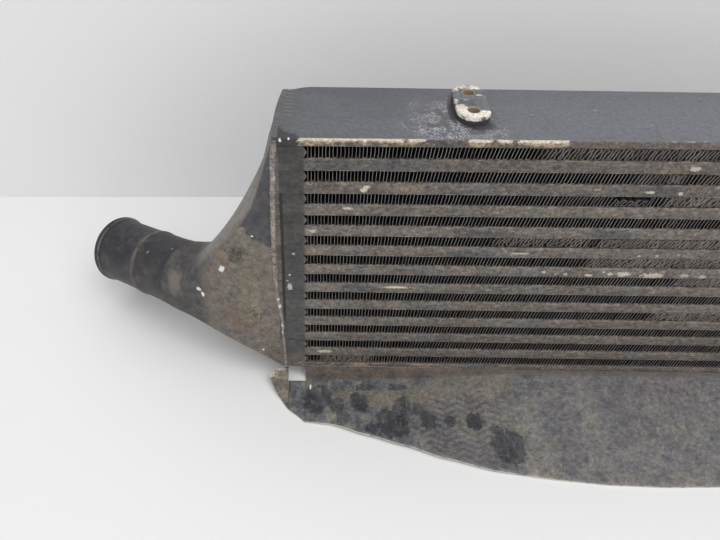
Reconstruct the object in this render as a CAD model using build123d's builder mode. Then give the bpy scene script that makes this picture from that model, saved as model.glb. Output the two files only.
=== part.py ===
"""Bar-and-plate charge-air intercooler with swept end tanks and a sheet air guide.

Frame: millimetres, +Z up, +X along the core, +Y from the air-entry face to the rear.
The origin is the centre of the underside of the core's bottom side plate.
"""

from build123d import *
import os
from math import cos, radians, sin

os.makedirs("parts", exist_ok=True)

# ---------------------------------------------------------------- driving sizes
# Core
core_length = 600.0  # over the end bars, along X
core_depth = 70.0  # air-entry face to rear face, along Y
side_plate = 6.0  # thickness of the top and bottom side plates
fin_rows = 12  # open rows that the outside air passes
fin_height = 9.2  # clear height of one fin row
passage_height = 9.8  # one charge passage over its two sheets
sheet = 0.6  # parting sheet between a fin row and a passage
passage_bar = 8.0  # width of the solid bar at the front and rear of a passage
end_bar = 20.0  # length along X of the bar that closes the end of a fin row
end_bar_nose = 2.5  # how far the pointed inner face of an end bar reaches
fin_pitch = 5.54  # between fin walls, drawn coarser than the real strip's 2.5
fin_stock = 0.8  # vertical thickness of the folded fin strip
fin_recess = 1.0  # fins stand this far behind the front and rear faces
fin_end_gap = 0.5  # between the end of a strip and the nose of its end bar
turbulator_pitch = 5.4  # between the walls of the strip inside a passage
turbulator_stock = 0.8
turbulator_recess = 2.0  # strip stops this far inside each open end

# End tanks
tank_wall = 4.0
tank_base_radius = 4.0
tank_least_radius = 3.0  # inside corners
neck_od = 63.0  # round end of the tank, which the pipe leaves
neck_round = 0.98  # corner radius of the neck, as a share of a full circle's
neck_reach = 86.0  # core end to the middle of the neck
neck_shift = 28.6  # the neck's middle, behind the middle of the core
neck_sweep = 36.0  # degrees the pipe points to the rear
neck_dip = 10.0  # degrees the pipe points down
neck_height = 48.7  # middle of the neck over the underside of the core
# Sections between core and neck, each as shares of the way from the one to the
# other: (reach, shift, sweep, depth, underside, top, corner radius)
tank_stations = [
    (0.151, 0.000, 0.111, 0.143, 0.578, 0.373, 0.040),
    (0.349, 0.085, 0.333, 0.214, 1.064, 0.597, 0.200),
    (0.558, 0.343, 0.611, 0.736, 1.267, 0.803, 0.345),
    (0.767, 0.666, 0.861, 0.864, 1.244, 0.976, 0.655),
]

# Hose pipes
pipe_od = 60.0
pipe_wall = 2.0
pipe_length = 96.8
pipe_flare = 18.0  # length over which it narrows from the neck
ring_at = 41.8  # raised ring, from the start of the pipe
ring_width = 4.0
ring_rise = 0.9
bead_width = 4.0  # rolled bead at the mouth
bead_rise = 1.7

# Weld between core and tank
weld_width = 6.0
weld_rise = 2.4

# Mounting lugs
lug_spacing = 25.0  # between the two holes
lug_width = 23.0
lug_rise = 6.0
lug_x = 165.0  # from the middle of the core
lug_y = 6.5  # middle of the lug, behind the middle of the core
lug_hole = 8.0
lug_edge = 0.8  # chamfer round the top of the lug

# Air guide
guide_sheet = 1.5
guide_drop = 14.5  # underside of the guide below the underside of the core
guide_tab = 12.0  # tab that lies under the bottom side plate
guide_flange_end = 21.5  # the upright flange stops this far inside the core end
guide_reach = 103.6  # front edge ahead of the core, at the middle
relief = 15.0  # length along X of the notch beside each end of the flange
relief_depth = 4.0  # how far the notch cuts forward of the flange
# Half of the front edge, as shares of (flange half length, reach)
guide_edge = [
    (1.0, 0.471),
    (0.925, 0.494),
    (0.816, 0.595),
    (0.704, 0.688),
    (0.597, 0.793),
    (0.446, 0.898),
    (0.284, 0.956),
    (0.144, 0.990),
    (0.0, 1.0),
]
# Outer edge of an ear, from its front corner back to the core: (share of the ear's
# width, share of the corner's distance ahead of the core)
guide_ear_width = 34.5
guide_ear = [(0.0, 1.0), (0.23, 0.852), (0.42, 0.744), (0.77, 0.357), (1.0, 0.02)]
torn_gap = 2.2  # step of the torn edge away from the core
torn_tilt = 16.0  # degrees the torn left ear is bent up about its crack

# ---------------------------------------------------------------- derived sizes
row_pitch = fin_height + passage_height
core_height = 2 * side_plate + fin_rows * fin_height + (fin_rows - 1) * passage_height
half_length = core_length / 2
half_depth = core_depth / 2
fin_span = core_length - 2 * (end_bar + end_bar_nose + fin_end_gap)
fin_walls = 2 * round(fin_span / fin_pitch / 2)
first_row = side_plate + fin_height / 2  # middle height of the lowest fin row
first_passage = side_plate + fin_height + passage_height / 2
passage_inside = passage_height - 2 * sheet
turbulator_span = core_depth - 2 * passage_bar
turbulator_walls = 2 * round(turbulator_span / turbulator_pitch / 2)
guide_flange_half = half_length - guide_flange_end


def zigzag(span, height, walls, stock):
    """Closed outline of a folded strip centred on the origin."""
    step = span / walls
    top = [
        (-span / 2 + i * step, height / 2 if i % 2 else stock - height / 2)
        for i in range(walls + 1)
    ]
    under = [(u, v - stock) for u, v in reversed(top)]
    return top + under


# ---------------------------------------------------------------- side plates
with BuildPart() as bottom_side_plate:
    Box(
        core_length,
        core_depth,
        side_plate,
        align=(Align.CENTER, Align.CENTER, Align.MIN),
    )
bottom_side_plate.part.label = "bottom_side_plate"
export_step(bottom_side_plate.part, "parts/bottom_side_plate.step")

with BuildPart() as top_side_plate:
    with Locations((0, 0, core_height)):
        Box(
            core_length,
            core_depth,
            side_plate,
            align=(Align.CENTER, Align.CENTER, Align.MAX),
        )
top_side_plate.part.label = "top_side_plate"
export_step(top_side_plate.part, "parts/top_side_plate.step")

# ---------------------------------------------------------------- fin rows
with BuildPart() as fin_strip:
    with BuildSketch(Plane.XZ):
        Polygon(*zigzag(fin_span, fin_height, fin_walls, fin_stock), align=None)
    extrude(amount=half_depth - fin_recess, both=True)

for row in range(fin_rows):
    with BuildPart() as fin_row:
        with Locations((0, 0, first_row + row * row_pitch)):
            add(fin_strip.part)
    fin_row.part.label = f"fin_row_{row + 1:02d}"
    export_step(fin_row.part, f"parts/fin_row_{row + 1:02d}.step")

# ---------------------------------------------------------------- charge passages
for row in range(fin_rows - 1):
    middle = first_passage + row * row_pitch
    with BuildPart() as passage:
        with Locations((0, 0, middle)):
            Box(core_length, core_depth, passage_height)
            Box(
                core_length, turbulator_span, passage_inside, mode=Mode.SUBTRACT
            )
    passage.part.label = f"passage_{row + 1:02d}"
    export_step(passage.part, f"parts/passage_{row + 1:02d}.step")

    with BuildPart() as turbulator:
        with BuildSketch(Plane.YZ):
            with Locations((0, middle)):
                Polygon(
                    *zigzag(
                        turbulator_span,
                        passage_inside,
                        turbulator_walls,
                        turbulator_stock,
                    ),
                    align=None,
                )
        extrude(amount=half_length - turbulator_recess, both=True)
    turbulator.part.label = f"turbulator_{row + 1:02d}"
    export_step(turbulator.part, f"parts/turbulator_{row + 1:02d}.step")

# ---------------------------------------------------------------- end bars
with BuildPart() as end_bars_left:
    with BuildSketch(Plane.XZ):
        inner = -half_length + end_bar
        for row in range(fin_rows):
            middle = first_row + row * row_pitch
            Polygon(
                (-half_length, middle - fin_height / 2),
                (inner, middle - fin_height / 2),
                (inner + end_bar_nose, middle),
                (inner, middle + fin_height / 2),
                (-half_length, middle + fin_height / 2),
                align=None,
            )
    extrude(amount=half_depth, both=True)
end_bars_left.part.label = "end_bars_left"
export_step(end_bars_left.part, "parts/end_bars_left.step")

with BuildPart() as end_bars_right:
    mirror(end_bars_left.part, about=Plane.YZ)
end_bars_right.part.label = "end_bars_right"
export_step(end_bars_right.part, "parts/end_bars_right.step")


# ---------------------------------------------------------------- end tanks
def station(reach, shift, turn, low, high):
    """Plane across the left tank, turned a share of the neck's sweep and dip."""
    sweep, dip = radians(neck_sweep * turn), radians(neck_dip * turn)
    return Plane(
        origin=(-half_length - reach, shift, (low + high) / 2),
        x_dir=(sin(sweep), cos(sweep), 0),
        z_dir=(-cos(sweep) * cos(dip), sin(sweep) * cos(dip), -sin(dip)),
    )


neck_low, neck_high = neck_height - neck_od / 2, neck_height + neck_od / 2
neck_plane = station(neck_reach, neck_shift, 1, neck_low, neck_high)
pipe_bore = pipe_od - 2 * pipe_wall


def between(core_value, neck_value, share):
    """Value a share of the way from the core's to the neck's."""
    return core_value + (neck_value - core_value) * share


def tank_sections(wall):
    """(plane, width, height, corner radius) of each section, inset by a wall."""
    base = station(0, 0, 0, 0, core_height)
    found = [
        (base, core_depth - 2 * wall, core_height - 2 * wall, tank_base_radius)
    ]
    for reach, shift, sweep, depth, under, top, corner in tank_stations:
        low = neck_low * under
        high = between(core_height, neck_high, top)
        plane = station(neck_reach * reach, neck_shift * shift, sweep, low, high)
        width = between(core_depth, neck_od, depth) - 2 * wall
        height = high - low - 2 * wall
        radius = between(tank_base_radius, neck_od / 2, corner) - wall
        most = min(width, height) / 2 * neck_round
        found.append((plane, width, height, min(max(radius, tank_least_radius), most)))
    return found


with BuildPart() as left_tank:
    for plane, width, height, radius in tank_sections(0.0):
        with BuildSketch(plane):
            RectangleRounded(width, height, radius)
    with BuildSketch(neck_plane):
        RectangleRounded(neck_od, neck_od, neck_od / 2 * neck_round)
    loft(ruled=True)
    for plane, width, height, radius in tank_sections(tank_wall):
        with BuildSketch(plane):
            RectangleRounded(width, height, radius)
    with BuildSketch(neck_plane):
        RectangleRounded(pipe_bore, pipe_bore, pipe_bore / 2 * neck_round)
    loft(ruled=True, mode=Mode.SUBTRACT)
left_tank.part.label = "left_tank"
export_step(left_tank.part, "parts/left_tank.step")

with BuildPart() as right_tank:
    mirror(left_tank.part, about=Plane.YZ)
right_tank.part.label = "right_tank"
export_step(right_tank.part, "parts/right_tank.step")

# ---------------------------------------------------------------- hose pipes
with BuildPart() as pipe_shape:
    with BuildSketch(Plane.XZ):
        bore, outer = pipe_bore / 2, pipe_od / 2
        Polygon(
            (bore, 0),
            (neck_od / 2 * neck_round, 0),
            (outer, pipe_flare),
            (outer, ring_at - ring_width / 2),
            (outer + ring_rise, ring_at - ring_width / 6),
            (outer + ring_rise, ring_at + ring_width / 6),
            (outer, ring_at + ring_width / 2),
            (outer, pipe_length - bead_width),
            (outer + bead_rise, pipe_length - bead_width * 0.7),
            (outer + bead_rise, pipe_length - bead_width * 0.3),
            (outer, pipe_length),
            (bore, pipe_length),
            align=None,
        )
    revolve(axis=Axis.Z)

with BuildPart() as left_pipe:
    add(neck_plane.location * pipe_shape.part)
left_pipe.part.label = "left_pipe"
export_step(left_pipe.part, "parts/left_pipe.step")

with BuildPart() as right_pipe:
    mirror(left_pipe.part, about=Plane.YZ)
right_pipe.part.label = "right_pipe"
export_step(right_pipe.part, "parts/right_pipe.step")

# ---------------------------------------------------------------- tank welds
with BuildPart() as left_weld:
    with Locations((-half_length, 0, core_height / 2)):
        Box(weld_width, core_depth + 2 * weld_rise, core_height + 2 * weld_rise)
    chamfer(left_weld.edges().filter_by(Axis.X, reverse=True), weld_rise * 0.6)
    with Locations((-half_length, 0, core_height / 2)):
        Box(weld_width, core_depth, core_height, mode=Mode.SUBTRACT)
left_weld.part.label = "left_weld"
export_step(left_weld.part, "parts/left_weld.step")

with BuildPart() as right_weld:
    mirror(left_weld.part, about=Plane.YZ)
right_weld.part.label = "right_weld"
export_step(right_weld.part, "parts/right_weld.step")


# ---------------------------------------------------------------- mounting lugs
def lug_blank(rise):
    """A two-hole lug standing on the XY plane with its long side along Y."""
    with BuildPart() as blank:
        with BuildSketch():
            SlotCenterToCenter(lug_spacing, lug_width, rotation=90)
            with Locations((0, -lug_spacing / 2), (0, lug_spacing / 2)):
                Circle(lug_hole / 2, mode=Mode.SUBTRACT)
        extrude(amount=rise)
        rim = blank.faces().sort_by(Axis.Z)[-1].outer_wire()
        chamfer(rim.edges(), lug_edge)
    return blank.part


top_lug_shape = lug_blank(lug_rise)
bottom_lug_shape = lug_blank(guide_drop)
for side, x in (("left", -lug_x), ("right", lug_x)):
    with BuildPart() as top_lug:
        with Locations((x, lug_y, core_height)):
            add(top_lug_shape)
    top_lug.part.label = f"top_lug_{side}"
    export_step(top_lug.part, f"parts/top_lug_{side}.step")

    with BuildPart() as bottom_lug:
        with Locations(Location((x, lug_y, 0), (180, 0, 0))):
            add(bottom_lug_shape)
    bottom_lug.part.label = f"bottom_lug_{side}"
    export_step(bottom_lug.part, f"parts/bottom_lug_{side}.step")

# ---------------------------------------------------------------- air guide
front = -half_depth  # Y of the air-entry face
fold = front - guide_sheet  # front face of the upright flange
notch_outer = guide_flange_half + relief
notch_front = fold - relief_depth
corner_ahead = guide_reach * guide_edge[0][1]
edge_points = [
    (-guide_flange_half * across, front - guide_reach * ahead)
    for across, ahead in guide_edge
]
edge_points += [(-x, y) for x, y in reversed(edge_points[:-1])]
ear_points = [
    (guide_flange_half + guide_ear_width * across, front - corner_ahead * ahead)
    for across, ahead in guide_ear
]
crack_end = front - corner_ahead * guide_ear[2][1]  # where the crack meets the edge

with BuildPart() as air_guide:
    # level sheet ahead of the core, with its right ear whole
    with BuildSketch(Plane.XY.offset(-guide_drop)):
        with BuildLine():
            Spline(*edge_points)
            Polyline(
                edge_points[-1],
                *ear_points[1:],
                (notch_outer, ear_points[-1][1]),
                (notch_outer, notch_front),
                (guide_flange_half, notch_front),
                (guide_flange_half, front),
                (-guide_flange_half, front),
                (-guide_flange_half, notch_front),
                (-notch_outer, notch_front),
                (-notch_outer, crack_end),
                edge_points[0],
            )
        make_face()
    extrude(amount=guide_sheet)
    # upright flange and the tab under the side plate
    with BuildSketch(Plane.YZ):
        with BuildLine():
            Polyline(
                (fold, -guide_drop),
                (front, -guide_drop),
                (front, -guide_sheet),
                (front + guide_tab, -guide_sheet),
                (front + guide_tab, 0),
                (fold, 0),
                close=True,
            )
        make_face()
    extrude(amount=guide_flange_half, both=True)
    # torn left ear, bent up about the crack that runs forward from the notch
    tilt = radians(torn_tilt)
    crack = Plane(
        origin=(-notch_outer, 0, guide_sheet / 7.5 - guide_drop),
        x_dir=(cos(tilt), 0, -sin(tilt)),
        z_dir=(sin(tilt), 0, cos(tilt)),
    )
    torn_points = [(notch_outer - x, y) for x, y in ear_points]
    with BuildSketch(crack):
        Polygon(
            (guide_sheet / 4, notch_front - guide_sheet / 2),
            (-guide_sheet / 2, front - torn_gap - guide_sheet / 4),
            (torn_points[4][0], torn_points[4][1] - torn_gap),
            torn_points[3],
            (torn_points[2][0], torn_points[2][1] + guide_sheet / 2),
            align=None,
        )
    extrude(amount=guide_sheet)
air_guide.part.label = "air_guide"
export_step(air_guide.part, "parts/air_guide.step")
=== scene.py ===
"""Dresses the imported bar-and-plate intercooler: worn metal, folded fins, welds and dirt."""

import logging
from dataclasses import dataclass
from enum import Enum
from math import cos, pi, radians, sin
from typing import Iterable, Iterator, Sequence, Union

import bmesh
import bpy
from mathutils import Euler, Matrix, Vector, noise


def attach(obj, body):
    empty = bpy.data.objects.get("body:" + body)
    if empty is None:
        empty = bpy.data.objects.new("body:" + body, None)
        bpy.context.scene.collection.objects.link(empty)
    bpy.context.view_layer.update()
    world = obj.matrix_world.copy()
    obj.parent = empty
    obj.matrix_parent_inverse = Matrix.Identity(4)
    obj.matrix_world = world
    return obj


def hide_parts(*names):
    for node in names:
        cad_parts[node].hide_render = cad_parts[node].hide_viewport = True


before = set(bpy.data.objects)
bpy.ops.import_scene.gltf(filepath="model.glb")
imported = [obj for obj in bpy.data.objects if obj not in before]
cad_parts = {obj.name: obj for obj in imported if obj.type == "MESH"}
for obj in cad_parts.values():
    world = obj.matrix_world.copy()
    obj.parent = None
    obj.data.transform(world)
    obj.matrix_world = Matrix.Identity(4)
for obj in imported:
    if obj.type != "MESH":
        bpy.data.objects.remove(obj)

MM = 0.001
MERGE = 0.0005
EVEN = (1.0, 1.0, 1.0)
Point = tuple[float, float, float]
Table = Sequence[tuple[float, float]]
BMesh = bmesh.types.BMesh
Material = bpy.types.Material
Piece = bpy.types.Object
Socket = bpy.types.NodeSocket
Ring = list[bmesh.types.BMVert]
log = logging.getLogger("intercooler")


# ============================================================ shader language
def linear(steps: Sequence[float]) -> tuple[float, ...]:
    """A colour in steps of 0 to 255, as linear light.

    Args:
        steps: Red, green and blue.

    Returns:
        The same in linear light.
    """
    return tuple(
        v / 12.92 if v <= 0.04045 else ((v + 0.055) / 1.055) ** 2.4
        for v in (step / 255.0 for step in steps)
    )


class Value:
    """A number that varies over a surface, held by one output socket."""

    def __init__(self, shader: "Shader", held: Socket) -> None:
        """Keep the socket and the shader that owns it.

        Args:
            shader: The material the socket belongs to.
            held: An output socket that carries a number.
        """
        self.shader, self.held = shader, held

    def __add__(self, other: "Number") -> "Value":
        """Sum."""
        return self.shader.math("ADD", self, other)

    def __sub__(self, other: "Number") -> "Value":
        """Difference."""
        return self.shader.math("SUBTRACT", self, other)

    def __rsub__(self, other: "Number") -> "Value":
        """Difference from a plain number."""
        return self.shader.math("SUBTRACT", other, self)

    def __mul__(self, other: "Number") -> "Value":
        """Product."""
        return self.shader.math("MULTIPLY", self, other)

    def __truediv__(self, other: "Number") -> "Value":
        """Quotient."""
        return self.shader.math("DIVIDE", self, other)

    def __abs__(self) -> "Value":
        """Size without sign."""
        return self.shader.math("ABSOLUTE", self)

    def __or__(self, other: "Number") -> "Value":
        """The larger of two masks."""
        return self.shader.math("MAXIMUM", self, other)

    __radd__, __rmul__ = __add__, __mul__

    def step(self, low: float, high: float) -> "Value":
        """Smooth rise from 0 at low to 1 at high, or a fall where high is under low.

        Args:
            low: Where the result is 0.
            high: Where the result is 1.

        Returns:
            The smoothed mask.
        """
        rises = high > low
        made = self.shader.node(
            "ShaderNodeMapRange", {"interpolation_type": "SMOOTHSTEP"},
            {
                "Value": self, "From Min": min(low, high), "From Max": max(low, high),
                "To Min": 0.0 if rises else 1.0, "To Max": 1.0 if rises else 0.0,
            },
        )
        return Value(self.shader, made.outputs["Result"])


class Coat:
    """A colour built up in layers."""

    def __init__(self, shader: "Shader", held: "Tint") -> None:
        """Start with the lowest layer.

        Args:
            shader: The material in hand.
            held: Its colour.
        """
        self.shader, self.held = shader, held

    def lay(self, mask: "Number", over: "Tint") -> "Coat":
        """Lay a colour over the rest.

        Args:
            mask: 0 hides the colour and 1 shows it.
            over: The colour.

        Returns:
            This coat.
        """
        made = self.shader.node(
            "ShaderNodeMix", {"data_type": "RGBA"}, {0: mask, 6: self, 7: over}
        )
        self.held = made.outputs[2]
        return self

    def mottle(
        self, size: float, amount: float, warmth: float = 0.25, shift: float = 0.0,
        stretch: Point = EVEN,
    ) -> "Coat":
        """Vary the brightness and warmth over the surface.

        Args:
            size: Width of the blotches.
            amount: Strength, from 0 to 1.
            warmth: How far the blotches turn warm or cool.
            shift: Moves the pattern.
            stretch: How dense it is along each axis.

        Returns:
            This coat.
        """
        s = self.shader
        tone = (s.grain(size, 5.0, 0.75, stretch, shift) - 0.5) * 2.4 + 0.5
        warm = (s.grain(size * 2.5, 3.0, 0.6, stretch, shift + 400.0) - 0.5) * warmth
        cloud = s.node(
            "ShaderNodeCombineColor", {}, {"Red": tone + warm, "Green": tone, "Blue": tone - warm}
        )
        made = s.node(
            "ShaderNodeMix", {"data_type": "RGBA", "blend_type": "OVERLAY"},
            {0: amount, 6: self, 7: cloud.outputs["Color"]},
        )
        self.held = made.outputs[2]
        return self


Number = Union[Value, float]
Tint = Union[Coat, Sequence[float], Socket]


class Shader:
    """One procedural material, read in millimetres of the object's own frame."""

    def __init__(self, name: str, seed: float = 0.0) -> None:
        """Start an empty material.

        Args:
            name: Name of the material.
            seed: Shifts every noise, so that like pieces differ.
        """
        self.material = bpy.data.materials.new(name)
        self.material.use_nodes = True
        self.tree = self.material.node_tree
        self.tree.nodes.clear()
        self.seed = seed
        where = self.node("ShaderNodeTexCoord").outputs["Object"]
        self.place = self.node(
            "ShaderNodeVectorMath", {"operation": "SCALE"}, {"Vector": where, "Scale": 1 / MM}
        ).outputs["Vector"]
        split = self.node("ShaderNodeSeparateXYZ", {}, {"Vector": self.place})
        self.x, self.y, self.z = (Value(self, split.outputs[axis]) for axis in "XYZ")

    def node(
        self, kind: str, settings: Union[dict, None] = None, inputs: Union[dict, None] = None
    ) -> bpy.types.Node:
        """Add a node.

        Args:
            kind: Blender's name of the node type.
            settings: Properties, set before the inputs.
            inputs: Values, colours or sockets, by socket name or index.

        Returns:
            The new node.
        """
        made = self.tree.nodes.new(kind)
        for key, value in (settings or {}).items():
            setattr(made, key, value)
        for key, value in (inputs or {}).items():
            socket = made.inputs[key]
            while isinstance(value, (Value, Coat)):
                value = value.held
            if isinstance(value, Socket):
                self.tree.links.new(value, socket)
            elif socket.type == "RGBA":
                socket.default_value = (*linear(value), 1.0)
            else:
                socket.default_value = value
        return made

    def math(self, operation: str, *terms: Number) -> Value:
        """Add a Math node.

        Args:
            operation: Blender's name of the operation.
            terms: One or two numbers or values.

        Returns:
            The result.
        """
        made = self.node("ShaderNodeMath", {"operation": operation}, dict(enumerate(terms)))
        return Value(self, made.outputs[0])

    def vector(
        self, operation: str, *terms: Union[Point, Socket]
    ) -> Socket:
        """Add a Vector Math node.

        Args:
            operation: Blender's name of the operation.
            terms: One to three vectors.

        Returns:
            The resulting vector, or the number where the result is one.
        """
        made = self.node("ShaderNodeVectorMath", {"operation": operation}, dict(enumerate(terms)))
        return made.outputs["Value" if operation in ("LENGTH", "DOT_PRODUCT") else "Vector"]

    def normal(self, axis: str) -> Value:
        """One component of the surface's own direction.

        Args:
            axis: X, Y or Z.

        Returns:
            The component, from -1 to 1.
        """
        where = self.node("ShaderNodeNewGeometry").outputs["True Normal"]
        split = self.node("ShaderNodeSeparateXYZ", {}, {"Vector": where})
        return Value(self, split.outputs[axis])

    def grain(
        self, size: float, detail: float = 3.0, rough: float = 0.55, stretch: Point = EVEN,
        shift: float = 0.0, warp: float = 0.0,
    ) -> Value:
        """Cloudy noise from 0 to 1 with a mean near 0.5.

        Args:
            size: Width of its largest blotches.
            detail: Octaves of finer noise.
            rough: Weight of the finer noise.
            stretch: How dense it is along each axis.
            shift: Moves the pattern.
            warp: Distortion of its outlines.

        Returns:
            The noise.
        """
        offset = (shift + self.seed, 0.7 * shift, 1.3 * shift)
        made = self.node(
            "ShaderNodeTexNoise", {"noise_dimensions": "3D"},
            {
                "Vector": self.vector("MULTIPLY_ADD", self.place, stretch, offset),
                "Scale": 1.0 / size, "Detail": detail, "Roughness": rough, "Distortion": warp,
            },
        )
        return Value(self, made.outputs[0])

    def flecks(
        self, size: float, share: float, shift: float = 0.0, stretch: Point = EVEN
    ) -> Value:
        """Scattered irregular specks.

        Args:
            size: Spacing of the cells that may hold one.
            share: Part of the cells that do, from 0 to 1.
            shift: Moves the pattern.
            stretch: How dense it is along each axis.

        Returns:
            1 on a speck and 0 off it.
        """
        offset = (shift + self.seed, 1.7 * shift, 0.3 * shift)
        cells = self.node(
            "ShaderNodeTexVoronoi", {"feature": "F1"},
            {
                "Vector": self.vector("MULTIPLY_ADD", self.place, stretch, offset),
                "Scale": 1.0 / size,
            },
        )
        pick = self.node("ShaderNodeSeparateColor", {}, {"Color": cells.outputs["Color"]})
        chosen = Value(self, pick.outputs["Red"]).step(share + 0.01, share - 0.01)
        reach = Value(self, pick.outputs["Green"]) * 0.20 + 0.05
        far = Value(self, cells.outputs["Distance"])
        far = far + (self.grain(size * 0.25, 3.0, 0.7, shift=shift) - 0.5) * 0.8
        return chosen * (far - reach).step(0.04, -0.03)

    def attribute(self, name: str) -> Value:
        """A number stored on the mesh.

        Args:
            name: Name of the attribute.

        Returns:
            The number.
        """
        made = self.node("ShaderNodeAttribute", {"attribute_name": name})
        return Value(self, made.outputs["Fac"])

    def near(
        self, centre: Point, radius: float, soft: float = 0.5, ragged: float = 0.4,
        stretch: Point = EVEN,
    ) -> Value:
        """A ragged patch round a point.

        Args:
            centre: Its middle.
            radius: Its radius.
            soft: Part of the radius over which it fades.
            ragged: How far noise moves its outline, in radii.
            stretch: Above 1 makes it narrower along that axis.

        Returns:
            1 inside the patch and 0 outside.
        """
        shaped = self.vector("MULTIPLY", self.vector("SUBTRACT", self.place, centre), stretch)
        reach = Value(self, self.vector("LENGTH", shaped)) / radius
        if ragged:
            cloud = self.grain(radius * 0.7, 4.0, 0.65, shift=centre[0])
            reach = reach + (cloud - 0.5) * (2.4 * ragged)
        return reach.step(1.0 + soft / 2, 1.0 - soft / 2)

    def line(self, start: Point, end: Point, width: float) -> Value:
        """A thin scratch from one point to another.

        Args:
            start: One end.
            end: The other end.
            width: Its width.

        Returns:
            1 on the scratch and 0 off it.
        """
        span = Vector(end) - Vector(start)
        run = tuple(span.normalized())
        offset = self.vector("SUBTRACT", self.place, tuple(Vector(start)))
        along = Value(self, self.vector("DOT_PRODUCT", offset, run))
        across = Value(self, self.vector("LENGTH", self.vector("CROSS_PRODUCT", offset, run)))
        across = across + (self.grain(6.0, 2.0, shift=start[0]) - 0.5) * (width * 1.6)
        ends = along.step(-0.5, 0.5) * along.step(span.length + 0.5, span.length - 0.5)
        return across.step(width * 0.75, width * 0.3) * ends

    def coat(self, mask: Number, under: Tint, over: Tint) -> Coat:
        """Start a coat with two colours.

        Args:
            mask: 0 shows the lower colour and 1 the upper one.
            under: The lower colour.
            over: The upper colour.

        Returns:
            The coat.
        """
        return Coat(self, under).lay(mask, over)

    def ramp(self, value: Value, *stops: tuple[float, float, float, float]) -> Coat:
        """Start a coat with colours picked by a number.

        Args:
            value: The number.
            stops: Places on it with their red, green and blue, lowest first.

        Returns:
            The coat.
        """
        made = self.node("ShaderNodeValToRGB", {}, {"Fac": value})
        elements = made.color_ramp.elements
        while len(elements) < len(stops):
            elements.new(0.5)
        for element, (where, *tint) in zip(elements, stops):
            element.position = where
            element.color = (*linear(tint), 1.0)
        return Coat(self, made.outputs["Color"])

    def close(
        self, colour: Tint, roughness: Number, metallic: float = 0.0,
        height: Union[Value, None] = None, relief: float = 0.3, specular: float = 0.5,
    ) -> Material:
        """Finish the material with one Principled shader.

        Args:
            colour: Base colour.
            roughness: Roughness.
            metallic: Share of bare metal.
            height: Relief in millimetres, if any.
            relief: Strength of the relief.
            specular: Level of the plain reflection.

        Returns:
            The material.
        """
        inputs = {
            "Base Color": colour, "Roughness": roughness, "Metallic": metallic,
            "Specular IOR Level": specular,
        }
        if height is not None:
            inputs["Normal"] = self.node(
                "ShaderNodeBump", {}, {"Strength": relief, "Distance": MM, "Height": height}
            ).outputs["Normal"]
        surface = self.node("ShaderNodeBsdfPrincipled", {}, inputs)
        self.node("ShaderNodeOutputMaterial", {}, {"Surface": surface.outputs["BSDF"]})
        return self.material


# ============================================================ mesh helpers
def clamp(value: float) -> float:
    """A number kept between 0 and 1."""
    return max(0.0, min(1.0, value))


def smooth(share: float) -> float:
    """An eased share: 0 at 0 and 1 at 1, level at both."""
    return share * share * (3 - 2 * share)


def spread(low: float, high: float, count: int) -> list[float]:
    """Numbers at even steps, both ends included.

    Args:
        low: The first.
        high: The last.
        count: Number of steps.

    Returns:
        The numbers.
    """
    return [low + (high - low) * i / count for i in range(count + 1)]


def follow(table: Table, at: float, ease: float = 0.0) -> float:
    """Read a table of places and values.

    Args:
        table: Its rows, with the places rising.
        at: The place to read.
        ease: Share of easing in the way from one row to the next.

    Returns:
        The value there, or 0 outside the table.
    """
    for (a, p), (b, q) in zip(table, table[1:]):
        if a <= at <= b:
            share = (at - a) / (b - a)
            return p + (q - p) * (smooth(share) * ease + share * (1.0 - ease))
    return 0.0


def bend_noise(x: float, y: float, z: float) -> float:
    """Smooth noise from -1 to 1 for dents and bends."""
    return noise.noise(Vector((x, y, z)))


def ring_edges(bm: BMesh, *rings: Ring) -> list[bmesh.types.BMEdge]:
    """The edges of closed rings.

    Args:
        bm: The mesh.
        rings: The vertices of each ring in order.

    Returns:
        The edges.
    """
    return [bm.edges.get(pair) for ring in rings for pair in zip(ring, ring[1:] + ring[:1])]


def next_ring(bm: BMesh, ring: Ring, places: Iterable[Vector], closed: bool) -> Ring:
    """Extrude a ring or chain of vertices to new places.

    Args:
        bm: The mesh.
        ring: Its vertices in order.
        places: Where the new vertices go, in the same order.
        closed: True for a ring, False for an open chain.

    Returns:
        The new vertices in order.
    """
    edges = ring_edges(bm, ring) if closed else [bm.edges.get(p) for p in zip(ring, ring[1:])]
    made = bmesh.ops.extrude_edge_only(bm, edges=edges)["geom"]
    fresh = {v for v in made if isinstance(v, bmesh.types.BMVert)}
    moved = []
    for vert, place in zip(ring, places):
        others = (edge.other_vert(vert) for edge in vert.link_edges)
        moved.append(next(other for other in others if other in fresh))
        moved[-1].co = place
    return moved


def first_ring(bm: BMesh, places: Sequence[Vector], closed: bool) -> Ring:
    """Start a ring or chain.

    Args:
        bm: The mesh.
        places: Its points in order.
        closed: True for a ring, False for an open chain.

    Returns:
        Its vertices in order.
    """
    if closed:
        ring = bmesh.ops.create_circle(bm, segments=len(places), radius=1.0)["verts"]
        for vert, place in zip(ring, places):
            vert.co = place
        return list(ring)
    ring = [bm.verts.new(place) for place in places]
    for pair in zip(ring, ring[1:]):
        bm.edges.new(pair)
    return ring


def loft(
    bm: BMesh, rings: Sequence[Sequence[Vector]], closed: bool = True
) -> list[Ring]:
    """Skin a row of rings or chains that have as many points each.

    Args:
        bm: The mesh.
        rings: The rings in order.
        closed: True for rings, False for open chains.

    Returns:
        The vertices of every ring.
    """
    made = [first_ring(bm, rings[0], closed)]
    for places in rings[1:]:
        made.append(next_ring(bm, made[-1], places, closed))
    return made


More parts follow.
